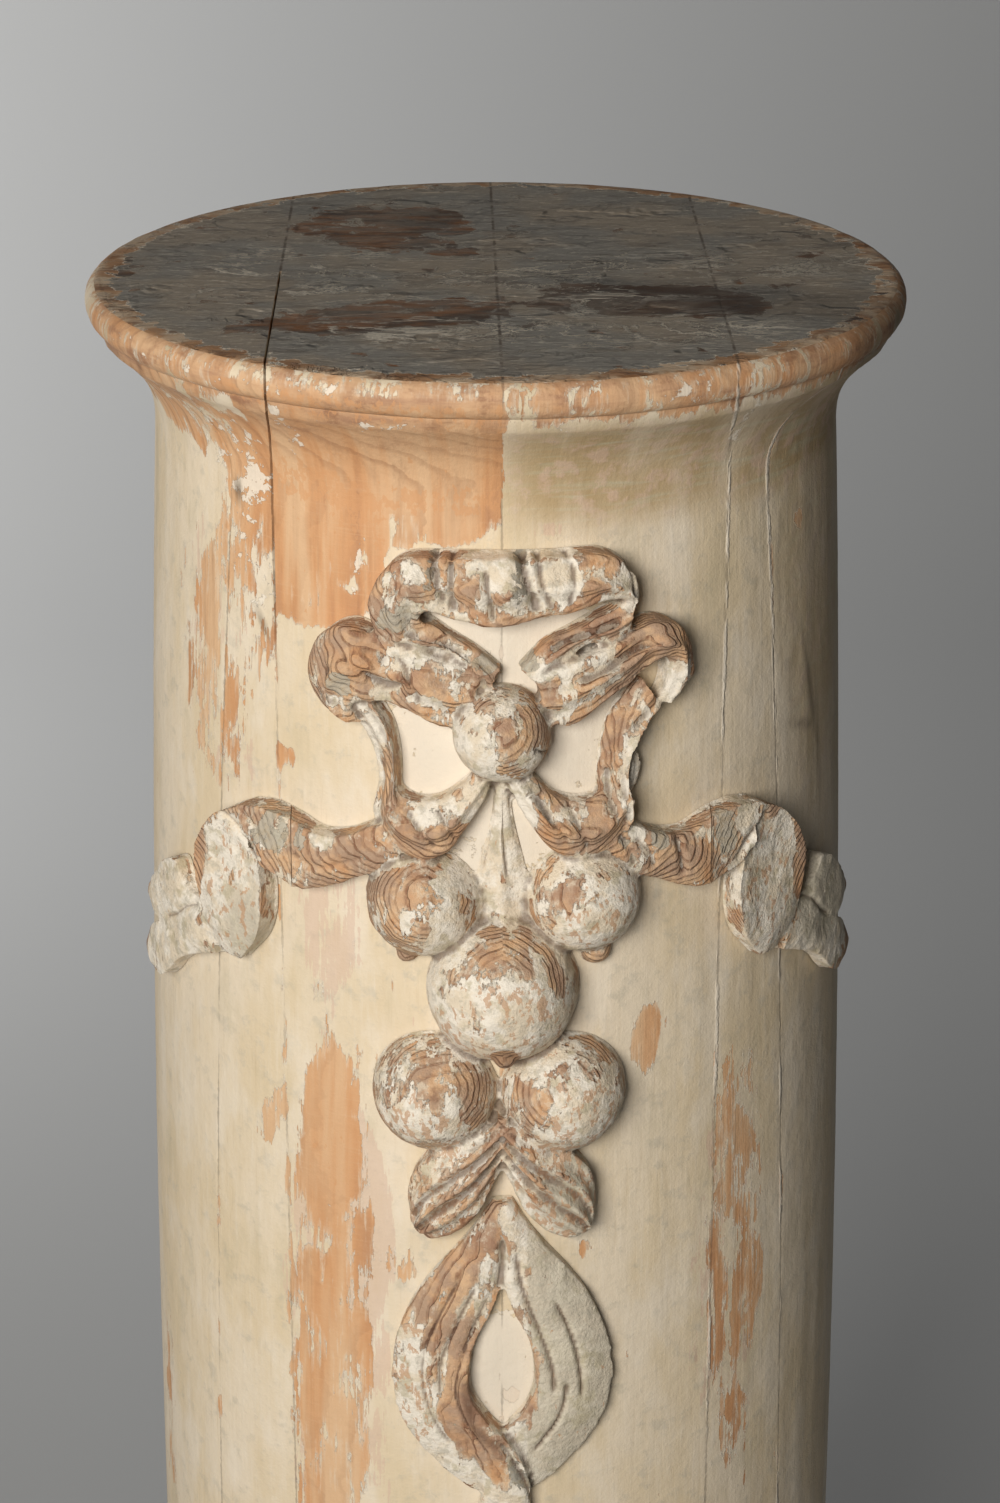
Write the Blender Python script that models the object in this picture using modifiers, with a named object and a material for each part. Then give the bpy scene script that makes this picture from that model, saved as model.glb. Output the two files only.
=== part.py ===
"""A carved pine column: a turned, laminated block with a ribbon bow, fruit and leaves planted on its front.

The column stands on Z = 0 with its axis on the Z axis, and the carving faces -Y. All lengths are in metres,
except that the carving's outlines are drawn flat, in millimetres, before they are wrapped around the shaft.
A point of that flat drawing is (across, drop): across is the distance to the right of the centre line along
the shaft's skin, and drop is the distance below the column's top.
"""

import math

import bmesh
import bpy
import numpy as np
from mathutils import Vector

# The turned block
HEIGHT = 1.12
RIM_RADIUS = 0.170
RIM_FLAT_RADIUS = 0.1635
RIM_NOSE_DEPTH = 0.0155
RIM_UNDERCUT = 0.005
NECK_DROP = 0.058
NECK_RADIUS = 0.1430
SHAFT_RADIUS = 0.1580
SHAFT_SWELL_DROP = 0.6525
FOOT_RADIUS = 0.190
FOOT_HEIGHT = 0.050
FOOT_ROUNDING = 0.016
FOOT_COVE_HEIGHT = 0.070
BLOCK_STEPS = 56

# How the carving sits on the block
PLANTING_GAP = 0.0003
CARVING_GRAIN = 0.0018
CENTRE_DETAIL = 0.0525
RIBBON_DETAIL = 0.046
BOARD_JOINT = 0.084
CARVING_SINK = 0.006
DRAWING_RADIUS = 0.150
MM = 0.001

# The round forms: across and drop of the centre in mm, radius in mm, height of the centre above the skin in mm
KNOB = (0.0, 145.5, 19.7, 5.0)
FRUITS = {
    "upper left": (-31.5, 219.0, 23.8, -2.0),
    "upper right": (33.0, 217.4, 23.8, -2.0),
    "centre": (0.4, 256.2, 31.0, -2.0),
    "lower left": (-27.0, 302.0, 26.0, -2.0),
    "lower right": (24.6, 302.6, 26.2, -2.0),
}
BUDS = {
    "fruit eye": (0.6, 279.0, 5.0, 16.5),
    "left bud": (-38.0, 241.5, 4.8, 1.5),
    "right bud": (37.5, 240.5, 7.0, 0.5),
}
FRUIT_SEGMENTS = 32
BUD_SEGMENTS = 16

# The ribbed leaves' apex, in mm below the top
LEAF_TOP = 308.0

# The lower drop
DROP_START = 505.0
DROP_LEAF_SCALE = 0.62
DROP_BEADS = ((0.0, 548.0, 15.0, 0.0), (0.0, 570.0, 11.0, 0.0), (0.0, 586.0, 7.5, 0.0))


def smooth_through(points, count):
    """Reads count rows from a Catmull-Rom curve through the given rows of numbers."""
    rows = np.asarray(points, dtype=float)
    padded = np.vstack([2 * rows[0] - rows[1], rows, 2 * rows[-1] - rows[-2]])
    result = []
    for position in np.linspace(0.0, len(rows) - 1.0, count):
        index = min(int(position), len(rows) - 2)
        t = position - index
        before, start, end, after = padded[index:index + 4]
        result.append(0.5 * (
            2 * start
            + (end - before) * t
            + (2 * before - 5 * start + 4 * end - after) * t ** 2
            + (3 * start - before - 3 * end + after) * t ** 3
        ))
    return np.array(result)


def shaft_radius(drop):
    """The shaft's radius at a distance below the top: it swells down to SHAFT_SWELL_DROP, then runs straight."""
    reach = SHAFT_SWELL_DROP - NECK_DROP
    share = min(max((SHAFT_SWELL_DROP - drop) / reach, 0.0), 1.0)
    return SHAFT_RADIUS - (SHAFT_RADIUS - NECK_RADIUS) * share ** 2


def block_profile(growth=0.0):
    """The block's outline from the top's centre, down the outside, to the foot's centre, as (radius, height)."""
    outline = [(0.0, HEIGHT + growth), (RIM_FLAT_RADIUS, HEIGHT + growth)]
    nose = RIM_NOSE_DEPTH / 2
    for step in range(1, 6):
        angle = math.pi * step / 5.5
        reach = (RIM_RADIUS - RIM_FLAT_RADIUS) * math.sin(angle)
        outline.append((RIM_FLAT_RADIUS + reach + growth, HEIGHT - nose + nose * math.cos(angle)))
    under = RIM_FLAT_RADIUS
    cove_start = RIM_NOSE_DEPTH + RIM_UNDERCUT
    for step in range(5):
        share = step / 5
        radius = NECK_RADIUS + (under - NECK_RADIUS) * (1 - share) ** 2.4
        outline.append((radius + growth, HEIGHT - cove_start - (NECK_DROP - cove_start) * share))
    cove_top = FOOT_HEIGHT + FOOT_COVE_HEIGHT
    for step in range(9):
        drop = NECK_DROP + (HEIGHT - cove_top - NECK_DROP) * step / 8
        outline.append((shaft_radius(drop) + growth, HEIGHT - drop))
    foot_neck = FOOT_RADIUS - FOOT_ROUNDING
    for step in range(1, 5):
        share = step / 4
        radius = SHAFT_RADIUS + (foot_neck - SHAFT_RADIUS) * share ** 2.4
        outline.append((radius + growth, cove_top - FOOT_COVE_HEIGHT * share))
    for step in range(1, 5):
        angle = math.radians(90 - 22.5 * step)
        outline.append((
            foot_neck + FOOT_ROUNDING * math.cos(angle) + growth,
            FOOT_HEIGHT - FOOT_ROUNDING + FOOT_ROUNDING * math.sin(angle),
        ))
    outline.append((FOOT_RADIUS + growth, -growth))
    outline.append((0.0, -growth))
    return outline


def on_shaft(across, drop, height):
    """Wraps a point of the flat drawing, all in mm, around the shaft."""
    angle = across * MM / DRAWING_RADIUS
    radius = shaft_radius(drop * MM) + height * MM
    return Vector((radius * math.sin(angle), -radius * math.cos(angle), HEIGHT - drop * MM))


def new_collection(name):
    """Makes a collection in the scene."""
    collection = bpy.data.collections.new(name)
    bpy.context.scene.collection.children.link(collection)
    return collection


def new_material(name, colour, roughness):
    """Makes a plain material."""
    material = bpy.data.materials.new(name)
    material.use_nodes = True
    shader = material.node_tree.nodes["Principled BSDF"]
    shader.inputs["Base Color"].default_value = (*colour, 1.0)
    shader.inputs["Roughness"].default_value = roughness
    shader.inputs["Metallic"].default_value = 0.0
    return material


def object_from(name, body, collection):
    """Turns a bmesh into an object of the collection."""
    bmesh.ops.recalc_face_normals(body, faces=body.faces)
    mesh = bpy.data.meshes.new(name)
    body.to_mesh(mesh)
    body.free()
    made = bpy.data.objects.new(name, mesh)
    collection.objects.link(made)
    return made


def turned(name, growth, collection):
    """Turns the block's outline about the Z axis, grown outwards by the given amount."""
    outline = block_profile(growth)
    mesh = bpy.data.meshes.new(name)
    edges = [(index, index + 1) for index in range(len(outline) - 1)]
    mesh.from_pydata([(radius, 0.0, height) for radius, height in outline], edges, [])
    block = bpy.data.objects.new(name, mesh)
    collection.objects.link(block)
    screw = block.modifiers.new("Turning", "SCREW")
    screw.axis = "Z"
    screw.steps = BLOCK_STEPS
    screw.render_steps = BLOCK_STEPS
    screw.use_merge_vertices = True
    screw.merge_threshold = 0.00005
    return block


def ball(body, form, segments=FRUIT_SEGMENTS):
    """Adds a round form, given by its centre's across, drop and height and by its radius, in mm."""
    across, drop, radius, height = form
    made = bmesh.ops.create_uvsphere(body, u_segments=segments, v_segments=segments // 2, radius=radius * MM)
    bmesh.ops.translate(body, verts=made["verts"], vec=on_shaft(across, drop, height))


def band(body, rails, heights, side=1, rows=14, columns=7, ribs=0, rib_height=0.0, shift=None):
    """Adds a carved band between two rails, as a loft whose section changes along its length.

    rails are the two edges in the flat drawing, one point for each station. heights gives, for each station,
    the height above the skin at the first edge, in the middle and at the second edge. side -1 mirrors the
    band. ribs is the number of ridges that run along the band. shift moves and scales the drawing.
    """
    first = smooth_through(rails[0], rows)
    second = smooth_through(rails[1], rows)
    levels = smooth_through(heights, rows)
    rings = []
    for start, end, (edge_one, middle, edge_two) in zip(first, second, levels):
        section = []
        for t in np.linspace(0.0, 1.0, columns):
            across, drop = start + (end - start) * t
            height = (1 - t) * (1 - 2 * t) * edge_one + 4 * t * (1 - t) * middle + t * (2 * t - 1) * edge_two
            height += rib_height * math.sin(math.pi * t) * math.cos(2 * math.pi * ribs * t) if ribs else 0.0
            section.append((across, drop, height))
        section.append((*end, -CARVING_SINK / MM))
        section.append((*start, -CARVING_SINK / MM))
        if shift:
            scale, drop_shift = shift
            section = [(across * scale, drop * scale + drop_shift, height * scale if height > 0 else height)
                       for across, drop, height in section]
        rings.append([body.verts.new(on_shaft(side * across, drop, height)) for across, drop, height in section])
    for ring, following in zip(rings, rings[1:]):
        for index in range(len(ring)):
            after = (index + 1) % len(ring)
            body.faces.new((ring[index], ring[after], following[after], following[index]))
    body.faces.new(rings[0])
    body.faces.new(list(reversed(rings[-1])))


def add_bow(body):
    """The bow: its pleated upper loop, the loops at each side, their turned-up lower ends and the knob."""
    ball(body, KNOB)
    band(body, ([(-37, 114), (-46, 108), (-51, 98), (-49, 86), (-39, 75), (-20, 73), (0, 73), (20, 73), (38, 73),
                 (49, 79), (53, 90), (51, 100)],
                [(-28, 101), (-29, 100), (-29, 99), (-29, 97), (-27, 95), (-17, 98), (-2, 100), (14, 97),
                 (26, 95), (36, 92), (46, 92), (47, 96)]),
         [(9, 11, 9), (10, 13, 10), (11, 14, 11), (11, 15, 12), (12, 16, 13), (11, 13, 12), (12, 16, 14),
          (11, 14, 13), (12, 16, 14), (12, 16, 13), (10, 15, 11), (8, 12, 9)], rows=23, columns=6)
    band(body, ([(-40, 101), (-29, 100), (-20, 105), (-10, 111), (0, 119)],
                [(-42, 112), (-32, 113), (-22, 114), (-13, 121), (-6, 128)]),
         [(10, 12, 10), (9, 12, 10), (7, 10, 8), (6, 9, 8), (7, 9, 8)], rows=9, columns=5)
    band(body, ([(50, 92), (40, 97), (28, 103), (16, 109), (6, 119)],
                [(50, 104), (43, 109), (33, 110), (24, 117), (14, 126)]),
         [(11, 13, 10), (10, 13, 10), (8, 11, 8), (7, 10, 8), (7, 9, 8)], rows=9, columns=5)
    add_left_loop(body)
    add_right_loop(body)


def add_left_loop(body):
    """The bow's left loop: the upper band, the edge that falls from its lobe, and the cupped lower turn."""
    band(body, ([(-8, 120), (-22, 115), (-36, 111), (-47, 107), (-59, 103), (-70, 108), (-76, 118), (-77, 128),
                 (-72, 138), (-63, 144)],
                [(-14, 142), (-24, 142), (-33, 137), (-43, 134), (-51, 133), (-55, 134), (-57, 136), (-57, 138),
                 (-56, 141), (-54, 144)]),
         [(10, 11, 10), (11, 13, 10), (12, 14, 11), (11, 12, 10), (13, 16, 12), (11, 16, 12), (9, 15, 12),
          (8, 14, 11), (8, 13, 10), (6, 10, 8)], rows=19)
    band(body, ([(-61, 138), (-55, 150), (-51, 160), (-50, 170), (-52, 182), (-48, 194)],
                [(-51, 132), (-44, 142), (-41, 152), (-40, 162), (-40, 175), (-38, 192)]),
         [(6, 9, 11), (2, 7, 12), (1, 6, 12), (1, 6, 12), (2, 7, 12), (4, 8, 10)], rows=11, columns=5)
    band(body, ([(-42, 166), (-38, 172), (-31, 174), (-23, 172), (-14, 165), (-8, 158)],
                [(-46, 188), (-39, 196), (-29, 198), (-20, 194), (-13, 184), (-4, 168)]),
         [(8, 12, 8), (8, 14, 9), (8, 15, 10), (8, 15, 10), (8, 13, 9), (8, 10, 8)], rows=11)


def add_right_loop(body):
    """The bow's right loop, like the left one but with its edge turned over along the fall."""
    band(body, ([(12, 122), (22, 118), (33, 113), (45, 109), (53, 104), (60, 102), (70, 106), (76, 117),
                 (77, 128), (70, 138)],
                [(18, 142), (27, 142), (38, 134), (48, 127), (57, 120), (62, 118), (65, 120), (65, 124),
                 (64, 130), (60, 137)]),
         [(10, 11, 10), (11, 13, 10), (12, 14, 11), (12, 14, 11), (12, 14, 12), (13, 17, 12), (11, 16, 10),
          (9, 14, 9), (8, 12, 9), (6, 10, 8)], rows=19)
    band(body, ([(55, 126), (44, 139), (40, 150), (38, 162), (38, 176), (40, 190)],
                [(62, 139), (53, 148), (48, 158), (48, 168), (50, 180), (47, 190)]),
         [(8, 10, 10), (3, 9, 13), (2, 9, 14), (3, 10, 14), (6, 11, 14), (8, 10, 10)], rows=11, columns=5)
    band(body, ([(50, 140), (46, 152), (46, 164), (45, 178)], [(59, 141), (53, 152), (55, 163), (50, 180)]),
         [(6, 7, 6), (6, 6, 5), (6, 7, 6), (5, 6, 5)], rows=7, columns=4)
    band(body, ([(6, 158), (13, 164), (20, 171), (30, 174), (39, 172), (45, 165)],
                [(2, 168), (10, 182), (18, 193), (28, 198), (39, 197), (49, 187)]),
         [(8, 10, 8), (8, 13, 9), (8, 15, 10), (8, 15, 10), (8, 14, 9), (8, 12, 8)], rows=11)


def add_ribbon_root(body, side):
    """The wavy first stretch of a ribbon tail, from under the bow to its hanging fold."""
    band(body, ([(38, 184), (50, 186), (61, 191), (73, 193), (85, 189), (97, 187), (109, 189)],
                [(39, 200), (51, 207), (65, 214), (79, 218), (90, 215), (97, 212), (104, 207)]),
         [(8, 11, 9), (9, 12, 10), (11, 12, 9), (10, 13, 11), (10, 12, 11), (11, 12, 12), (11, 13, 12)], side,
         rows=17, columns=6)


def add_ribbon_end(body, side):
    """The outer stretch of a ribbon tail: its hanging fold and the forked end behind it."""
    band(body, ([(106, 188), (121, 196), (131, 208), (136, 221), (135, 234), (133, 247), (125, 260)],
                [(97, 197), (99, 204), (99, 212), (97, 223), (97, 235), (101, 247), (112, 260)]),
         [(11, 12, 11), (12, 10, 11), (12, 9, 11), (11, 9, 11), (10, 10, 12), (8, 10, 10), (5, 7, 6)], side)
    band(body, ([(128, 241), (144, 241), (150, 236), (155, 230), (165, 234), (178, 245), (189, 256)],
                [(126, 259), (140, 262), (150, 263), (158, 264), (168, 265), (178, 265), (187, 262)]),
         [(5, 7, 6), (6, 8, 7), (7, 8, 7), (8, 8, 7), (8, 8, 7), (7, 8, 7), (6, 7, 6)], side, rows=13, columns=5)
    band(body, ([(128, 250), (146, 256), (158, 262), (169, 265), (179, 269), (190, 278), (193, 284)],
                [(128, 264), (144, 270), (155, 277), (163, 285), (172, 291), (184, 291), (192, 288)]),
         [(5, 7, 5), (6, 8, 6), (6, 8, 7), (7, 8, 7), (7, 8, 7), (6, 8, 7), (6, 7, 6)], side, rows=13, columns=5)


def add_stem(body):
    """The gathered stem that spreads below the knob."""
    band(body, ([(-3, 158), (-4, 180), (-9, 202), (-15, 228)], [(3, 158), (4, 180), (9, 202), (15, 228)]),
         [(3, 6, 3), (2, 4, 2), (1, 4, 1), (1, 4, 1)], rows=8, ribs=2, rib_height=0.8)


def add_fruit(body):
    """The five fruits with their eye and buds."""
    for form in FRUITS.values():
        ball(body, form)
    for form in BUDS.values():
        ball(body, form, BUD_SEGMENTS)


def add_leaf(body, side, shift=None):
    """One ribbed leaf of the pair below the fruit, or of the smaller pair in the drop."""
    band(body, ([(-2, LEAF_TOP), (9, 317), (20, 323), (29, 329), (35, 338), (37, 350), (35, 361)],
                [(-2, 330), (3, 341), (8, 352), (14, 360), (21, 365), (28, 367), (33, 365)]),
         [(12, 9, 7), (12, 13, 8), (11, 15, 9), (10, 15, 9), (9, 14, 9), (7, 12, 8), (5, 8, 5)], side, rows=12,
         columns=17, ribs=4, rib_height=2.2, shift=shift)


def add_husk(body, side):
    """One long leaf of the pair that closes around the almond-shaped opening."""
    band(body, ([(4, 350), (10, 361), (17, 371), (27, 384), (35, 397), (41, 412), (44, 427), (44, 441),
                 (40, 457), (31, 472), (19, 484), (8, 493)],
                [(-1, 350), (-1, 366), (-1, 380), (1, 393), (5, 404), (10, 415), (12.5, 427), (12.5, 438),
                 (9, 448), (3, 456), (-2, 464), (-4, 474)]),
         [(3, 6, 5), (3, 7, 6), (4, 7, 6), (4, 8, 6), (5, 8, 6), (5, 8, 6), (5, 8, 7), (5, 8, 7), (5, 8, 7),
          (4, 7, 6), (4, 6, 5), (3, 4, 3)], side, rows=21, columns=13, ribs=3, rib_height=1.1)


def add_drop(body):
    """The edge of the left husk, which crosses the right one, and the plainer leaves and beads below it."""
    band(body, ([(-22, 420), (-23, 438), (-18, 455), (-11, 469), (-7, 484), (-10, 500), (-10, 516)],
                [(-12, 420), (-12.5, 438), (-6, 452), (3, 463), (9, 476), (12, 492), (10, 516)]),
         [(6, 8, 8), (7, 9, 10), (7, 10, 10), (7, 10, 10), (6, 9, 9), (5, 8, 8), (5, 7, 5)], rows=15, columns=6)
    for side in (-1, 1):
        add_leaf(body, side, (DROP_LEAF_SCALE, DROP_START - LEAF_TOP * DROP_LEAF_SCALE))
    for form in DROP_BEADS:
        ball(body, form)


def board_box(name, half_width, collection):
    """A box as tall and deep as the column, for parting the carvings at the board joints."""
    body = bmesh.new()
    bmesh.ops.create_cube(body, size=1.0)
    bmesh.ops.scale(body, verts=body.verts, vec=(2 * half_width, 3 * FOOT_RADIUS, 2 * HEIGHT))
    bmesh.ops.translate(body, verts=body.verts, vec=(0.0, 0.0, HEIGHT / 2))
    return object_from(name, body, collection)


def carve(name, body, detail, seat, board, operation, collection):
    """Makes one carving: its forms flow together, its back is cut to the shaft and its side to the joint.

    detail is the share of the facets that stay. board and operation are the box and the cut for the joint.
    """
    carving = object_from(name, body, collection)
    flow = carving.modifiers.new("Flow together", "REMESH")
    flow.mode = "VOXEL"
    flow.voxel_size = CARVING_GRAIN
    thin = carving.modifiers.new("Facets", "DECIMATE")
    thin.ratio = detail
    for title, kind, cutter in (("Seat", "DIFFERENCE", seat), ("Joint", operation, board)):
        cut = carving.modifiers.new(title, "BOOLEAN")
        cut.operation = kind
        cut.solver = "MANIFOLD"
        cut.object = cutter
    return carving


def main():
    """Builds the column and the three carvings."""
    for existing in list(bpy.data.objects):
        bpy.data.objects.remove(existing, do_unlink=True)
    parts = new_collection("Pine column")
    cutters = new_collection("Cutters")

    column = turned("column", 0.0, parts)
    seat = turned("shaft seat", PLANTING_GAP, cutters)
    middle = board_box("middle board", BOARD_JOINT - PLANTING_GAP / 2, cutters)
    clearance = board_box("middle board clearance", BOARD_JOINT + PLANTING_GAP / 2, cutters)
    for cutter in cutters.objects:
        cutter.hide_render = True
        cutter.display_type = "WIRE"

    body = bmesh.new()
    add_bow(body)
    add_stem(body)
    add_fruit(body)
    for side in (-1, 1):
        add_ribbon_root(body, side)
        add_leaf(body, side)
        add_husk(body, side)
    add_drop(body)
    carvings = [carve("centre_carving", body, CENTRE_DETAIL, seat, middle, "INTERSECT", parts)]
    for name, side in (("left_ribbon_end", -1), ("right_ribbon_end", 1)):
        body = bmesh.new()
        add_ribbon_root(body, side)
        add_ribbon_end(body, side)
        carvings.append(carve(name, body, RIBBON_DETAIL, seat, clearance, "DIFFERENCE", parts))

    column.data.materials.append(new_material("Painted pine", (0.62, 0.54, 0.40), 0.75))
    carved = new_material("Carved pine", (0.55, 0.36, 0.21), 0.8)
    for carving in carvings:
        carving.data.materials.append(carved)


main()
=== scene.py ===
"""The carved pine column, dressed in worn cream paint and gesso over bare pine.

The frame is in metres, with Z up and the carved front facing -Y. The carving and the worn places are drawn
flat, in millimetres: across is the distance to the right of the centre line along the shaft's skin, and drop
is the distance below the column's top.
"""

import functools
import itertools
import logging
import math
from dataclasses import dataclass, field, replace
from enum import Enum
from typing import Iterable, Sequence, Union

import bmesh
import bpy
import numpy as np
from bmesh.types import BMesh, BMVert
from mathutils import Matrix, Vector

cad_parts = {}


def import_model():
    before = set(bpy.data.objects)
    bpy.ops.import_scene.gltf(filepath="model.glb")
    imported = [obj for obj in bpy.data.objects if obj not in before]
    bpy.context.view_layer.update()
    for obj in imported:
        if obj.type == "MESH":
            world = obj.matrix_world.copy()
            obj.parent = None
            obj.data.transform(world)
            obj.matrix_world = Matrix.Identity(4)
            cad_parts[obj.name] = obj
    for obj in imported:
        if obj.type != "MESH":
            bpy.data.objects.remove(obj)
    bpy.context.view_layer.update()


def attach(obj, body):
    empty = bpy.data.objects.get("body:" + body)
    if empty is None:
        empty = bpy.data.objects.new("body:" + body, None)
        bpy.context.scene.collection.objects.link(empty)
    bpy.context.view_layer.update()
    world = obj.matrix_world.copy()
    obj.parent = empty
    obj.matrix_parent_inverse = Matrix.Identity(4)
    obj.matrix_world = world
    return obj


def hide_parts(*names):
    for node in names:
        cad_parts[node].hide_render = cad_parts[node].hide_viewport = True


LOG = logging.getLogger("column")
MM = 0.001
BOARD = 89.3  # mm from the middle joint to the next one
FAR = 999.0  # mm, past every part of the column
MERGE = 0.00002  # m, within which points become one

Pair = tuple[float, float]
Triple = tuple[float, float, float]
Colour = tuple[float, float, float]
Piece = bpy.types.Object
Material = bpy.types.Material


class Board(Enum):
    """The stretch of the carving that one piece of planted board carries."""

    CENTRE = "centre_carving"
    LEFT = "left_ribbon_end"
    RIGHT = "right_ribbon_end"


class Wear(Enum):
    """What a worn place shows: most kinds are a layer that the finishes read."""

    BARE = "bare"
    STAIN = "stain"
    OCHRE = "ochre"
    GREY = "grey"
    CHALK = "chalk"
    # On the block this layer marks dark cracks and spots; on the carving it is mostly painted shade in the
    # hollows and creases.
    SOOT = "soot"
    CREAM = "cream"


def smooth_through(points: Sequence[Sequence[float]], places: np.ndarray) -> np.ndarray:
    """Reads rows from a Catmull-Rom curve through the given rows of numbers.

    Args:
        points: The rows that the curve passes through, evenly spaced along it.
        places: Where to read the curve, from 0 at its start to 1 at its end.

    Returns:
        One row for each place.
    """
    rows = np.asarray(points, dtype=float)
    padded = np.vstack([2 * rows[0] - rows[1], rows, 2 * rows[-1] - rows[-2]])
    position = np.clip(places, 0.0, 1.0) * (len(rows) - 1)
    index = np.minimum(position.astype(int), len(rows) - 2)
    t = (position - index)[:, None]
    before, start, end, after = (padded[index + step] for step in range(4))
    return 0.5 * (
        2 * start
        + (end - before) * t
        + (2 * before - 5 * start + 4 * end - after) * t ** 2
        + (3 * start - before - 3 * end + after) * t ** 3
    )


def soft_step(value: np.ndarray, low: float, high: float) -> np.ndarray:
    """Rises smoothly from 0 at low to 1 at high."""
    share = np.clip((value - low) / (high - low), 0.0, 1.0)
    return share * share * (3 - 2 * share)


def unevenness(points: np.ndarray, size: float, seed: int = 0) -> np.ndarray:
    """Smooth, repeatable unevenness in space.

    Args:
        points: Where to read it, one row of three numbers for each point.
        size: The size of its bumps, in the points' unit.
        seed: A number that picks the pattern.

    Returns:
        One number from -1 to 1 for each point.
    """
    cells = points / size + 7.13 * (seed + 1)
    base = np.floor(cells).astype(np.int64)
    part = cells - base
    part = part * part * (3 - 2 * part)
    total = np.zeros(len(points))
    for corner in itertools.product((0, 1), repeat=3):
        near = base + np.array(corner)
        mixed = (near[:, 0] * 73856093) ^ (near[:, 1] * 19349663) ^ (near[:, 2] * 83492791)
        mixed = mixed ^ (seed * 2654435761)
        mixed = ((mixed ^ (mixed >> 13)) * 1274126177) & 0xFFFFFFFF
        mixed = (mixed ^ (mixed >> 16)) & 0xFFFF
        total += (mixed / 32767.5 - 1) * np.prod(np.where(corner, part, 1 - part), axis=1)
    return total


def distance_to_path(spots: np.ndarray, path: np.ndarray) -> tuple[np.ndarray, np.ndarray]:
    """Measures how far flat points lie from a path of short straight runs.

    Args:
        spots: The points, one row of two numbers each.
        path: The path's points in order.

    Returns:
        The distance of each point, and how far along the path its nearest place is, from 0 to 1.
    """
    best = np.full(len(spots), 1e9)
    along = np.zeros(len(spots))
    for index in range(len(path) - 1):
        start, run = path[index], path[index + 1] - path[index]
        share = np.clip(((spots - start) @ run) / max(run @ run, 1e-9), 0.0, 1.0)
        away = np.linalg.norm(spots - start - share[:, None] * run, axis=1)
        closer = away < best
        best[closer] = away[closer]
        along[closer] = (index + share[closer]) / (len(path) - 1)
    return best, along


@dataclass(frozen=True)
class ShaftForm:
    """The turned block's form, which the carving and the worn places are laid on."""

    height: float = 1.12
    rim_radius: float = 0.170
    rim_flat_radius: float = 0.1635
    rim_nose_depth: float = 0.0155
    rim_undercut: float = 0.005
    neck_drop: float = 0.058
    neck_radius: float = 0.1430
    shaft_radius: float = 0.1580
    swell_drop: float = 0.6525
    foot_radius: float = 0.190
    foot_height: float = 0.050
    foot_rounding: float = 0.016
    foot_cove_height: float = 0.070
    drawing_radius: float = 0.150
    board: float = BOARD * MM
    side_joint: float = -0.0958

    def radius_at(self, drop: np.ndarray) -> np.ndarray:
        """The shaft's radius at distances below the top, both in metres."""
        share = np.clip((self.swell_drop - drop) / (self.swell_drop - self.neck_drop), 0.0, 1.0)
        return self.shaft_radius - (self.shaft_radius - self.neck_radius) * share ** 2

    def wrap(self, across: np.ndarray, drop: np.ndarray, lift: np.ndarray) -> np.ndarray:
        """Wraps points of the flat drawing around the shaft.

        Args:
            across: Distances to the right of the centre line, in mm.
            drop: Distances below the top, in mm.
            lift: Heights above the shaft's skin, in mm.

        Returns:
            One row of X, Y and Z in metres for each point.
        """
        angle = across * MM / self.drawing_radius
        radius = self.radius_at(drop * MM) + lift * MM
        return np.column_stack([radius * np.sin(angle), -radius * np.cos(angle), self.height - drop * MM])

    def unwrap(self, points: np.ndarray) -> tuple[np.ndarray, np.ndarray, np.ndarray]:
        """Reads points of the frame back as across, drop and lift, in mm.

        Args:
            points: One row of X, Y and Z in metres for each point.

        Returns:
            The across, drop and lift of each point.
        """
        drop = self.height - points[:, 2]
        across = np.arctan2(points[:, 0], -points[:, 1]) * self.drawing_radius
        lift = np.hypot(points[:, 0], points[:, 1]) - self.radius_at(drop)
        return across / MM, drop / MM, lift / MM

    def outline(self) -> list[Pair]:
        """The block's outline from the top's centre, down the outside, to the foot's centre.

        Returns:
            Pairs of radius and height, in metres.
        """
        flat, top = self.rim_flat_radius, self.height
        line = [(flat * step / 22, top) for step in range(23)]
        nose = self.rim_nose_depth / 2
        for step in range(1, 17):
            angle = math.pi * step / 17.2
            radius = flat + (self.rim_radius - flat) * math.sin(angle)
            line.append((radius, top - nose + nose * math.cos(angle)))
        cove = self.rim_nose_depth + self.rim_undercut
        for step in range(17):
            share = step / 17
            radius = self.neck_radius + (flat - self.neck_radius) * (1 - share) ** 2.4
            line.append((radius, top - cove - (self.neck_drop - cove) * share))
        cove_top = self.foot_height + self.foot_cove_height
        for start, end, count in ((self.neck_drop, 0.56, 160), (0.56, self.height - cove_top, 34)):
            for step in range(count):
                drop = start + (end - start) * step / count
                line.append((float(self.radius_at(np.array(drop))), top - drop))
        neck = self.foot_radius - self.foot_rounding
        for step in range(15):
            share = step / 14
            line.append((self.shaft_radius + (neck - self.shaft_radius) * share ** 2.4,
                         cove_top - self.foot_cove_height * share))
        for step in range(1, 9):
            angle = math.radians(90 - 90 * step / 8)
            line.append((neck + self.foot_rounding * math.cos(angle),
                         self.foot_height - self.foot_rounding + self.foot_rounding * math.sin(angle)))
        line += [(self.foot_radius, 0.017), (self.foot_radius, 0.0), (0.1, 0.0), (0.0, 0.0)]
        return line


FORM = ShaftForm()


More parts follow.
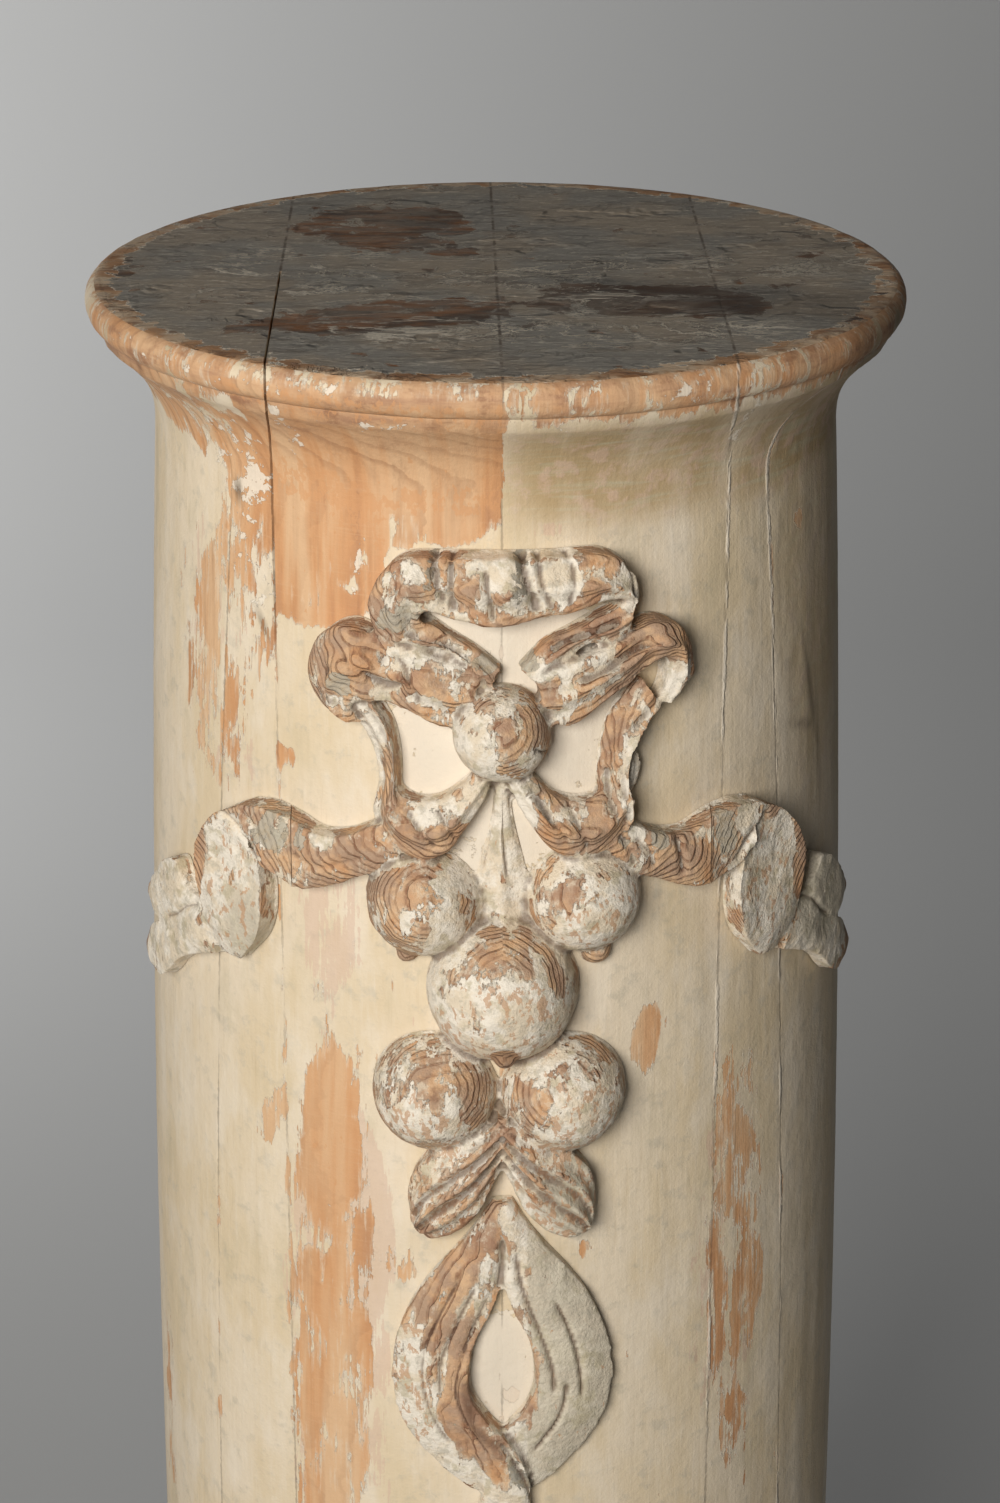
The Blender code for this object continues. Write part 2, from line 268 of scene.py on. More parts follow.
@dataclass(frozen=True)
class WornPlace:
    """A place on the skin where the finish has changed, drawn flat in mm, with soft and ragged bounds."""

    wear: Wear
    across: float
    drop: float
    width: float
    height: float
    strength: float = 1.0
    feather: float = 6.0
    lean: float = 0.0
    squareness: float = 2.0
    from_x: float = -FAR
    to_x: float = FAR

    def reach(self, across: np.ndarray, drop: np.ndarray) -> np.ndarray:
        """How strongly the place counts at points of the skin, between its two limits of X."""
        x = np.sin(across * MM / FORM.drawing_radius) * FORM.radius_at(drop * MM) / MM
        return self.on_flat(across, drop) * ((x > self.from_x) & (x < self.to_x))

    def on_flat(self, across: np.ndarray, drop: np.ndarray) -> np.ndarray:
        """How strongly the place counts at flat points.

        Args:
            across: The points' first numbers, in mm.
            drop: Their second numbers, in mm.

        Returns:
            The place's strength inside it, falling to 0 over its feather.
        """
        turn = math.radians(self.lean)
        x = (across - self.across) * math.cos(turn) + (drop - self.drop) * math.sin(turn)
        y = (drop - self.drop) * math.cos(turn) - (across - self.across) * math.sin(turn)
        half_width, half_height = self.width / 2, self.height / 2
        ring = np.abs(x / half_width) ** self.squareness + np.abs(y / half_height) ** self.squareness
        ring = ring ** (1 / self.squareness)
        margin = self.feather / min(half_width, half_height)
        return self.strength * (1 - soft_step(ring, 1 - margin / 2, 1 + margin / 2))


def worn(wear: Wear, *rows: Sequence[float]) -> tuple[WornPlace, ...]:
    """Makes worn places of one kind, each from a row of its numbers."""
    return tuple(WornPlace(wear, *row) for row in rows)


@dataclass(frozen=True)
class GougeLine:
    """A carved line on the skin, drawn flat in mm: a groove, or a ridge where its depth is negative."""

    path: tuple[Pair, ...]
    width: float
    depth: float
    taper: float = 0.15

    def sink(self, across: np.ndarray, drop: np.ndarray) -> np.ndarray:
        """How deep the line cuts at flat points, in mm.

        Args:
            across: The points' distances to the right of the centre line, in mm.
            drop: Their distances below the top, in mm.

        Returns:
            The depth at each point.
        """
        path = smooth_through(self.path, np.linspace(0.0, 1.0, 6 * len(self.path)))
        away, along = distance_to_path(np.column_stack([across, drop]), path)
        ends = soft_step(along, 0.0, self.taper) * soft_step(1 - along, 0.0, self.taper)
        return self.depth * ends * np.exp(-(away / self.width) ** 2)


def gouged(*rows: tuple[tuple[Pair, ...], float, float]) -> tuple[GougeLine, ...]:
    """Makes gouge lines, each from its path, width and depth."""
    return tuple(GougeLine(*row) for row in rows)


@dataclass(frozen=True)
class Ball:
    """A round carved form, in mm: where its centre is on the drawing, its radius, and its centre's lift."""

    across: float
    drop: float
    radius: float
    lift: float
    subdivisions: int = 5

    def add_to(self, body: BMesh) -> None:
        """Adds the form to a carving."""
        made = bmesh.ops.create_icosphere(body, subdivisions=self.subdivisions, radius=self.radius * MM)
        centre = FORM.wrap(np.array([self.across]), np.array([self.drop]), np.array([self.lift]))[0]
        bmesh.ops.translate(body, verts=made["verts"], vec=Vector(centre))


@dataclass(frozen=True)
class Band:
    """A carved band between two rails, drawn flat in mm, whose section changes along its length."""

    first: tuple[Pair, ...]
    second: tuple[Pair, ...]
    heights: tuple[Triple, ...]
    ribs: int = 0
    rib_height: float = 0.0
    rows: int = 90
    columns: int = 30
    sink: float = 6.0

    def add_to(self, body: BMesh, side: int = 1, scale: float = 1.0, shift: float = 0.0) -> None:
        """Adds the band to a carving, as a sheet over the skin that is drawn down into the block.

        Args:
            body: The carving.
            side: 1 as drawn, or -1 mirrored.
            scale: How much of its drawn size the band has.
            shift: How far the scaled drawing moves down, in mm.
        """
        made = bmesh.ops.create_grid(body, x_segments=self.columns, y_segments=self.rows, size=0.5)
        verts = made["verts"]
        places = np.array([vert.co[:2] for vert in verts]) + 0.5
        t = places[:, :1]
        first, second = (smooth_through(rail, places[:, 1]) for rail in (self.first, self.second))
        edge, middle, far = (column[:, None] for column in smooth_through(self.heights, places[:, 1]).T)
        flat = (first + (second - first) * t) * scale
        lift = (1 - t) * (1 - 2 * t) * edge + 4 * t * (1 - t) * middle + t * (2 * t - 1) * far
        if self.ribs:
            lift = lift + self.rib_height * np.sin(np.pi * t) * np.cos(2 * np.pi * self.ribs * t)
        lift = lift[:, 0] * scale
        across, drop = side * flat[:, 0], flat[:, 1] + shift
        for vert, place in zip(verts, FORM.wrap(across, drop, lift)):
            vert.co = place
        faces = list({face for vert in verts for face in vert.link_faces})
        drawn = bmesh.ops.extrude_face_region(body, geom=faces)
        below = [item for item in drawn["geom"] if isinstance(item, BMVert)]
        across, drop, _ = FORM.unwrap(np.array([vert.co for vert in below]))
        for vert, place in zip(below, FORM.wrap(across, drop, np.full(len(below), -self.sink))):
            vert.co = place


def linked(name: str, data: bpy.types.ID) -> Piece:
    """Makes an object of some data and links it to the scene."""
    made = bpy.data.objects.new(name, data)
    bpy.context.scene.collection.objects.link(made)
    return made


class Workbench:
    """Turns bmeshes into pieces of the frame."""

    def spin(self, body: BMesh, line: list, angle: float, steps: int, closed: bool = False) -> list:
        """Spins a line around the column's axis, and gives the line at its last place."""
        spun = bmesh.ops.spin(body, geom=line, cent=(0, 0, 0), axis=(0, 0, 1), dvec=(0, 0, 0), angle=angle,
                              steps=steps, use_merge=closed, use_duplicate=False)
        return spun["geom_last"]

    def profile(self, body: BMesh, outline: Sequence[Pair]) -> list:
        """Draws an outline of radius and height as a line that can be spun."""
        line = [body.verts.new((radius, 0.0, height)) for radius, height in outline]
        return line + [body.edges.new(pair) for pair in zip(line, line[1:])]

    def piece(self, name: str, body: BMesh) -> Piece:
        """Makes an object of a bmesh, with its faces turned outwards.

        Args:
            name: The object's name.
            body: The bmesh, which is used up.

        Returns:
            The object, at the origin.
        """
        bmesh.ops.recalc_face_normals(body, faces=body.faces)
        mesh = bpy.data.meshes.new(name)
        body.to_mesh(mesh)
        body.free()
        return linked(name, mesh)

    def settle(self, piece: Piece) -> None:
        """Applies a piece's modifiers to its mesh."""
        bpy.context.view_layer.update()
        seen = piece.evaluated_get(bpy.context.evaluated_depsgraph_get())
        mesh = bpy.data.meshes.new_from_object(seen)
        piece.modifiers.clear()
        old = piece.data
        piece.data = mesh
        bpy.data.meshes.remove(old)
        mesh.name = piece.name

    def smooth(self, piece: Piece, angle: float) -> None:
        """Shades a piece smooth, but for edges sharper than the angle in degrees."""
        piece.data.shade_smooth()
        piece.data.set_sharp_from_angle(angle=math.radians(angle))

    def note(self, piece: Piece, name: str, values: np.ndarray) -> None:
        """Writes one number for each vertex as a named layer of the piece."""
        layer = piece.data.attributes.new(name, "FLOAT", "POINT")
        layer.data.foreach_set("value", values.astype(np.float32))


def corners(mesh: bpy.types.Mesh) -> Iterable[np.ndarray]:
    """The places of a mesh's vertices, and then their outward directions, one row each."""
    for items, name in ((mesh.vertices, "co"), (mesh.vertex_normals, "vector")):
        rows = np.empty(len(items) * 3, np.float32)
        items.foreach_get(name, rows)
        yield rows.reshape(-1, 3).astype(float)


@dataclass
class Neighbours:
    """Which vertices of a mesh share an edge, for spreading values over its skin."""

    mesh: bpy.types.Mesh
    ends: np.ndarray = field(init=False)
    count: np.ndarray = field(init=False)

    def __post_init__(self) -> None:
        """Reads the mesh's edges."""
        ends = np.empty(len(self.mesh.edges) * 2, np.int32)
        self.mesh.edges.foreach_get("vertices", ends)
        self.ends = ends.reshape(-1, 2)
        self.count = np.maximum(np.bincount(self.ends.ravel(), minlength=len(self.mesh.vertices)), 1)

    def average(self, values: np.ndarray) -> np.ndarray:
        """The mean of each vertex's neighbours."""
        total = np.zeros_like(values)
        for column in range(values.shape[1]):
            for start, end in ((0, 1), (1, 0)):
                given = values[self.ends[:, end], column]
                total[:, column] += np.bincount(self.ends[:, start], weights=given, minlength=len(values))
        return total / self.count[:, None]

    def hollow(self, places: np.ndarray, ways: np.ndarray, spread: int) -> np.ndarray:
        """How hollow the skin is around each vertex.

        Args:
            places: The vertices' places.
            ways: Their outward directions.
            spread: How many rings of neighbours the answer takes in.

        Returns:
            Millimetres by which the surroundings stand over the vertex, negative on a ridge.
        """
        around = places
        for _ in range(spread):
            around = self.average(around)
        return np.einsum("ij,ij->i", around - places, ways) / MM


class Signal:
    """A number, colour or vector that changes over the surface. Working with it places nodes in its tree."""

    def __init__(self, bench: "Bench", socket: bpy.types.NodeSocket) -> None:
        """Notes the socket that the value comes from."""
        self.bench, self.socket = bench, socket

    def __add__(self, other: "Feed") -> "Signal":
        """The value plus another."""
        return self.bench.math("ADD", self, other)

    def __sub__(self, other: "Feed") -> "Signal":
        """The value less another."""
        return self.bench.math("SUBTRACT", self, other)

    def __mul__(self, other: "Feed") -> "Signal":
        """The value times another."""
        return self.bench.math("MULTIPLY", self, other)

    def __abs__(self) -> "Signal":
        """The value without its sign."""
        return self.bench.math("ABSOLUTE", self)

    def above(self, limit: float) -> "Signal":
        """1 where the value is over a limit, 0 elsewhere."""
        return self.bench.math("GREATER_THAN", self, limit)

    def ramp(self, low: "Feed", high: "Feed", start: "Feed" = 0.0, end: "Feed" = 1.0) -> "Signal":
        """Maps the value smoothly from one range to another, held to its ends."""
        return self.bench.place("ShaderNodeMapRange", {0: self, 1: low, 2: high, 3: start, 4: end},
                                interpolation_type="SMOOTHSTEP")

    def stretch(self, x: "Feed", y: "Feed", z: "Feed") -> "Signal":
        """A place with its three numbers scaled."""
        scale = self.bench.join(x, y, z)
        return self.bench.place("ShaderNodeVectorMath", {0: self, 1: scale}, operation="MULTIPLY")

    def cloud(self, scale: "Feed", detail: float = 4, roughness: float = 0.55, warp: float = 0) -> "Signal":
        """Cloudy noise from 0 to 1 at a place."""
        return self.bench.place("ShaderNodeTexNoise", {"Vector": self, "Scale": scale, "Detail": detail,
                                                       "Roughness": roughness, "Distortion": warp})

    def parts(self) -> list["Signal"]:
        """The three numbers of a place."""
        return [self.bench.place("ShaderNodeSeparateXYZ", {0: self}, index) for index in range(3)]


Feed = Union[Signal, float, Sequence[float]]


class Bench:
    """Places shader nodes in one tree and joins them."""

    def __init__(self, tree: bpy.types.NodeTree) -> None:
        """Starts work on a tree."""
        self.tree = tree

    def feed(self, socket: bpy.types.NodeSocket, value: Feed) -> None:
        """Joins a socket to a signal, or sets its number, vector or colour."""
        if isinstance(value, Signal):
            self.tree.links.new(value.socket, socket)
        elif isinstance(value, (int, float)):
            socket.default_value = value
        else:
            socket.default_value = tuple(value) + (1.0,) * (len(socket.default_value) - len(value))

    def node(self, kind: str, feeds: dict[Union[str, int], Feed], **settings: object) -> bpy.types.Node:
        """Places a node.

        Args:
            kind: The node's type.
            feeds: What goes into its sockets, by name or number.
            settings: Its other settings.

        Returns:
            The node.
        """
        node = self.tree.nodes.new(kind)
        row, column = divmod(len(self.tree.nodes), 12)
        node.location = (180 * column, -220 * row)
        for name, value in settings.items():
            setattr(node, name, value)
        for socket, value in feeds.items():
            self.feed(node.inputs[socket], value)
        return node

    def place(self, kind: str, feeds: dict[Union[str, int], Feed], output: Union[str, int] = 0,
              **settings: object) -> Signal:
        """Places a node and gives one of its outputs, the first if none is named."""
        return Signal(self, self.node(kind, feeds, **settings).outputs[output])

    def math(self, operation: str, *values: Feed) -> Signal:
        """Works out one number from others."""
        return self.place("ShaderNodeMath", dict(enumerate(values)), operation=operation)

    def most(self, first: Feed, *others: Feed) -> Signal:
        """The largest of some numbers."""
        return functools.reduce(lambda one, two: self.math("MAXIMUM", one, two), others, first)

    def join(self, x: Feed, y: Feed, z: Feed = 0.0) -> Signal:
        """A place from its numbers."""
        return self.place("ShaderNodeCombineXYZ", {0: x, 1: y, 2: z})

    def distance(self, x: Feed, y: Feed) -> Signal:
        """How far a flat place is from the middle."""
        return self.place("ShaderNodeVectorMath", {0: self.join(x, y)}, "Value", operation="LENGTH")

    def here(self) -> Signal:
        """The place on the piece."""
        return self.place("ShaderNodeTexCoord", {}, "Object")

    def layer(self, layer: Union[Wear, str]) -> Signal:
        """Reads one of the piece's layers."""
        name = layer.value if isinstance(layer, Wear) else layer
        return self.place("ShaderNodeAttribute", {}, "Fac", attribute_name=name)

    def effect(self, group: bpy.types.NodeTree, **feeds: Feed) -> dict[str, Signal]:
        """Places a shared effect, and gives its outputs by name."""
        node = self.node("ShaderNodeGroup", {}, node_tree=group)
        for name, value in feeds.items():
            self.feed(node.inputs[name], value)
        return {socket.name: Signal(self, socket) for socket in node.outputs}

    def coats(self, colour: Feed, *coats: tuple[Feed, Feed]) -> Signal:
        """Lays coats of colour over a ground.

        Args:
            colour: The ground's colour.
            coats: Pairs of a coat's share of the surface and its colour, the lowest first.

        Returns:
            The colour that shows.
        """
        for share, coat in coats:
            colour = self.place("ShaderNodeMix", {0: share, 6: colour, 7: coat}, 2, data_type="RGBA")
        return colour

    def pile(self, *parts: tuple[Signal, Feed]) -> Signal:
        """Adds up values, each times its weight."""
        return functools.reduce(lambda total, part: self.math("MULTIPLY_ADD", *part, total), parts, 0.0)


class SharedEffects:
    """The effects that several finishes use, each a node group that is built once."""

    def __init__(self) -> None:
        """Builds the groups."""
        self.rings = self.growth_rings()
        self.grain = self.straight_grain()
        self.flakes = self.ragged_flakes()
        self.skin = self.skin_place()
        self.joints = self.board_joints()

    @staticmethod
    def start(name: str, outputs: Sequence[str], **inputs: float) -> tuple[Bench, dict[str, Signal]]:
        """Opens a new group.

        Args:
            name: The group's name.
            outputs: What it puts out: numbers, but for the place, which is a vector.
            inputs: Its number inputs and their usual values.

        Returns:
            The bench for the group, and its inputs by name.
        """
        tree = bpy.data.node_groups.new(name, "ShaderNodeTree")
        for title, usual in inputs.items():
            socket = tree.interface.new_socket(name=title, in_out="INPUT", socket_type="NodeSocketFloat")
            socket.default_value = usual
        for title in outputs:
            kind = "NodeSocketVector" if title == "Place" else "NodeSocketFloat"
            tree.interface.new_socket(name=title, in_out="OUTPUT", socket_type=kind)
        bench = Bench(tree)
        given = bench.node("NodeGroupInput", {})
        return bench, {socket.name: Signal(bench, socket) for socket in given.outputs}

    @staticmethod
    def close(bench: Bench, *values: Signal) -> bpy.types.NodeTree:
        """Joins a group's outputs in their order, and gives the group."""
        bench.node("NodeGroupOutput", dict(enumerate(values)))
        return bench.tree

    def skin_place(self) -> bpy.types.NodeTree:
        """The place on the shaft's skin, unrolled: a vector of across, height and radius in metres."""
        bench, _ = self.start("Place on the skin", ("Place",))
        x, y, z = bench.here().parts()
        across = bench.math("ARCTAN2", x, y * -1.0) * FORM.drawing_radius
        return self.close(bench, bench.join(across, z, bench.distance(x, y)))

    def board_joints(self) -> bpy.types.NodeTree:
        """How near a place is to a joint between the block's boards: 1 on the joint, 0 at the given width."""
        bench, given = self.start("Board joints", ("Near",), Width=0.001)
        place = bench.here()
        x, y, z = place.parts()
        away = bench.math("MINIMUM", abs(x), abs(abs(x) - FORM.board))
        front = abs(y - FORM.side_joint) + z.above(FORM.height - FORM.rim_nose_depth)
        wobble = (place.cloud(350, 3) - 0.5) * 0.0012
        return self.close(bench, (bench.math("MINIMUM", away, front) + wobble).ramp(given["Width"], 0.0002))

    def growth_rings(self) -> bpy.types.NodeTree:
        """Growth rings of a board sawn from the tree's side: dark lines around a pith far behind the face."""
        bench, given = self.start("Growth rings", ("Line", "Tone"), Pitch=0.002, Wander=1.0, Pith=0.12,
                                  Slant=0.02)
        place = bench.here()
        x, y, z = place.parts()
        board = x.above(FORM.board) + x.above(0.0) + x.above(-FORM.board)
        depth = given["Pith"] - y + bench.most(z, FORM.height - 0.345) * given["Slant"]
        wander = (place.cloud(28, 2, 0.5) - 0.5) * 0.009 + (place.cloud(130, 3, 0.6) - 0.5) * 0.0024
        radius = bench.distance(x + 0.128 - board * FORM.board, depth) + wander * given["Wander"]
        turns = bench.math("DIVIDE", radius, given["Pitch"])
        share = bench.math("FRACT", turns)
        late = share.ramp(0.58, 0.90) * share.ramp(1.0, 0.94)
        year = bench.math("FLOOR", turns)
        year = bench.place("ShaderNodeTexWhiteNoise", {"W": year}, noise_dimensions="1D")
        return self.close(bench, late * (year * 0.6 + 0.4), place.cloud(45, 3, 0.6))

    def straight_grain(self) -> bpy.types.NodeTree:
        """Fine streaks that run down the boards."""
        bench, given = self.start("Straight grain", ("Streak", "Fibre"), Length=0.03)
        drawn = bench.here().stretch(1, 1, given["Length"])
        return self.close(bench, drawn.cloud(160, 4, 0.65), drawn.cloud(900, 3, 0.6))

    def ragged_flakes(self) -> bpy.types.NodeTree:
        """Where a worn coat has gone: its mask from 0 to 1, and the broken edge of the coat around it."""
        bench, given = self.start("Ragged flakes", ("Gone", "Edge", "Depth"), Level=0.0, Size=90.0,
                                  Raggedness=1.0, Streaks=1.0, Streakiness=0.0, Rim=0.08, Seed=0.0)
        shift = bench.join(given["Seed"], given["Seed"])
        drawn = bench.here().stretch(1, 1, given["Streaks"])
        place = bench.place("ShaderNodeVectorMath", {0: drawn, 1: shift}, operation="ADD")
        streaky = (place.stretch(1, 1, 0.12).cloud(620, 3, 0.6) - 0.5) * given["Streakiness"]
        noise = (place.cloud(given["Size"], 7, 0.62, 0.3) - 0.5 + streaky) * given["Raggedness"]
        value = noise * 2.4 + given["Level"]
        edge = value.ramp(given["Rim"] * -1.0, 0.0) * value.ramp(0.05, 0.0)
        return self.close(bench, value.ramp(-0.02, 0.03), edge, value)


@dataclass(frozen=True)
class PineTones:
    """The colours of bare, aged pine, and the dark brown painted as shade in its carved hollows."""

    early: Colour = (0.60, 0.300, 0.130)
    pale: Colour = (0.66, 0.42, 0.235)
    late: Colour = (0.22, 0.085, 0.035)
    rose: Colour = (0.36, 0.185, 0.105)
    tan: Colour = (0.53, 0.305, 0.165)
    ash: Colour = (0.42, 0.27, 0.175)
    # deep is the dark brown painted as shade in the carving's hollows and creases.
    deep: Colour = (0.10, 0.045, 0.022)


@dataclass(frozen=True)
class CoatTones:
    """The colours of the old coats: paint, gesso and what time has left on them."""

    cream: Colour = (0.735, 0.615, 0.455)
    cream_yellow: Colour = (0.68, 0.545, 0.36)
    gesso: Colour = (0.79, 0.695, 0.565)
    chalk: Colour = (0.83, 0.745, 0.62)
    grey: Colour = (0.47, 0.42, 0.325)
    # dark_grey also stands for painted shade where the carving lays it in fold valleys.
    dark_grey: Colour = (0.25, 0.225, 0.175)
    olive: Colour = (0.46, 0.385, 0.235)
    ochre: Colour = (0.43, 0.30, 0.15)
    stain: Colour = (0.62, 0.42, 0.31)
    dirt: Colour = (0.06, 0.038, 0.022)


@dataclass(frozen=True)
class Finish:
    """A worn finish of coats over pine, whose bump has a strength and a height in metres."""

    effects: SharedEffects
    name: str
    bump_strength: float
    bump_height: float
    pine: PineTones = PineTones()
    coat: CoatTones = CoatTones()

    def looks(self, bench: Bench) -> tuple[Signal, Signal, Signal]:
        """The colour, the roughness and the fine relief at each place."""
        raise NotImplementedError

    def material(self) -> Material:
        """Builds the finish.

        Returns:
            The material, which reads the piece's wear layers.
        """
        made = bpy.data.materials.new(self.name)
        made.use_nodes = True
        bench = Bench(made.node_tree)
        colour, roughness, relief = self.looks(bench)
        bump = bench.place("ShaderNodeBump", {"Strength": self.bump_strength, "Distance": self.bump_height,
                                              "Height": relief})
        shader = made.node_tree.nodes["Principled BSDF"]
        for socket, value in (("Base Color", colour), ("Roughness", roughness), ("Normal", bump)):
            bench.feed(shader.inputs[socket], value)
        return made


@dataclass(frozen=True)
class ShaftFinish(Finish):
    """Worn cream paint over gesso on the turned pine."""

    name: str = "Worn cream paint"
    bump_strength: float = 0.8
    bump_height: float = 0.001
    joint_widths: Triple = (0.0028, 0.0011, 0.0006)

    def wood(self, bench: Bench, skin: Signal, mottle: Signal, grain: dict[str, Signal]) -> Signal:
        """The bare pine, darker and redder where the rim has been handled.

        Args:
            bench: The bench of the finish.
            skin: The place on the skin.
            mottle: The finish's cloudy unevenness.
            grain: The straight grain.

        Returns:
            Its colour.
        """
        pine, up = self.pine, skin.parts()[1]
        rings = bench.effect(self.effects.rings, Pitch=0.0062, Wander=1.5, Pith=0.0)
        bands = skin.stretch(1, 0.09, 0).cloud(62, 4, 0.55, 0.4)
        turned = skin.stretch(0.25, 1, 0).cloud(120, 5, 0.6)
        lathe = skin.stretch(0.03, 1, 0).cloud(900, 3, 0.6)
        handled = up.ramp(1.085, 1.10) * turned.ramp(0.42, 0.58, 0.15, 0.85)
        return bench.coats(
            pine.early,
            (bands.ramp(0.38, 0.62), pine.pale),
            (bands.ramp(0.46, 0.30, 0, 0.45), pine.rose),
            (rings["Line"] * up.ramp(1.03, 1.10, 0.16, 0.45), pine.late),
            (handled, pine.tan),
            (handled * turned.ramp(0.52, 0.66, 0, 0.8), pine.rose),
            (handled * mottle.ramp(0.50, 0.62, 0, 0.55), pine.late),
            (grain["Streak"].ramp(0.5, 0.75, 0, 0.28), pine.late),
            (lathe.ramp(0.52, 0.75, 0, 0.25), pine.pale),
        )

    def paint(self, bench: Bench, skin: Signal, mottle: Signal, brush: Signal) -> Signal:
        """The cream paint with what has rubbed, stained and yellowed it.

        Args:
            bench: The bench of the finish.
            skin: The place on the skin.
            mottle: The finish's cloudy unevenness.
            brush: The marks of the brush.

        Returns:
            Its colour.
        """
        coat, flakes = self.coat, self.effects.flakes
        broad = skin.stretch(1, 0.3, 0).cloud(30, 5, 0.6)
        lighter = skin.stretch(-1, 0.4, 0).cloud(40, 6, 0.62)
        strokes = skin.stretch(0.10, 1, 0).cloud(260, 4, 0.6, 0.5)
        yellowed = bench.layer(Wear.OCHRE)
        rubbed = bench.effect(flakes, Level=yellowed - 0.5, Size=130, Raggedness=0.8, Seed=2)["Gone"]
        stained = bench.effect(flakes, Level=bench.layer(Wear.STAIN), Size=110, Streaks=0.35, Streakiness=0.5,
                               Seed=3)["Gone"]
        ochre = bench.coats(coat.ochre, (strokes.ramp(0.46, 0.70), coat.olive),
                            (mottle.ramp(0.48, 0.62, 0, 0.6), coat.stain))
        return bench.coats(
            coat.cream,
            (broad.ramp(0.36, 0.62), coat.cream_yellow),
            (brush.ramp(0.52, 0.75, 0, 0.30), coat.gesso),
            (brush.ramp(0.44, 0.26, 0, 0.22), coat.ochre),
            (mottle.ramp(0.52, 0.68, 0, 0.45), coat.grey),
            (lighter.ramp(0.48, 0.66, 0, 0.45), coat.gesso),
            (lighter.ramp(0.46, 0.32, 0, 0.28), coat.olive),
            (bench.most(yellowed * broad.ramp(0.34, 0.56, 0.55, 0.95), rubbed * 0.38), ochre),
            (stained * 0.5, coat.stain),
        )

    def looks(self, bench: Bench) -> tuple[Signal, Signal, Signal]:
        """The colour, the roughness and the fine relief: paint, flaked off the wood and off the joints."""
        flakes, coat = self.effects.flakes, self.coat
        skin = bench.effect(self.effects.skin)["Place"]
        mottle = skin.cloud(110, 6, 0.68)
        grain = bench.effect(self.effects.grain, Length=0.02)
        brush = skin.stretch(1, 0.06, 0).cloud(420, 5, 0.62)
        along = skin.stretch(1, 0.25, 0).cloud(90, 4, 0.6)
        joints = [bench.effect(self.effects.joints, Width=width) for width in self.joint_widths]
        near, thin, seam = (joint["Near"] for joint in joints)
        level = bench.layer(Wear.BARE) + near * along.ramp(0.42, 0.62, 0, 0.9)
        worn = bench.effect(flakes, Level=level, Size=105, Streaks=0.34, Raggedness=1.5, Streakiness=0.38,
                            Rim=0.13)
        gone = worn["Gone"]
        specks = bench.effect(flakes, Level=level * 0.25 - 0.58, Size=380, Streaks=0.5, Seed=12)["Gone"]
        chalk = bench.effect(flakes, Level=bench.layer(Wear.CHALK), Size=170, Streaks=1.1, Raggedness=1.3,
                             Seed=9)["Gone"]
        broken = worn["Edge"] * mottle.ramp(0.46, 0.56, 0.10, 0.80)
        film = worn["Depth"].ramp(0.45, 0.05, 0, 0.5) * brush.ramp(0.42, 0.60)
        lifted = thin * skin.parts()[0].above(0.05) * along.ramp(0.46, 0.56)
        colour = bench.coats(
            self.paint(bench, skin, mottle, brush),
            (gone, self.wood(bench, skin, mottle, grain)),
            (specks * 0.6, self.pine.early),
            (chalk * 0.85, coat.gesso),
            (broken, coat.gesso),
            (film * gone, coat.cream),
            (lifted, coat.gesso),
            (bench.most(bench.layer(Wear.SOOT), seam * along.ramp(0.60, 0.44, 0, 0.5) * 0.8), coat.dirt),
        )
        relief = bench.pile((gone, -0.35), (broken, 0.20), (lifted, 0.5), (brush, 0.22), (mottle, 0.70),
                            (skin.cloud(900, 3), 0.12), (grain["Fibre"], gone * 0.22), (chalk, 0.3))
        return colour, gone.ramp(0, 1, 0.60, 0.72), relief


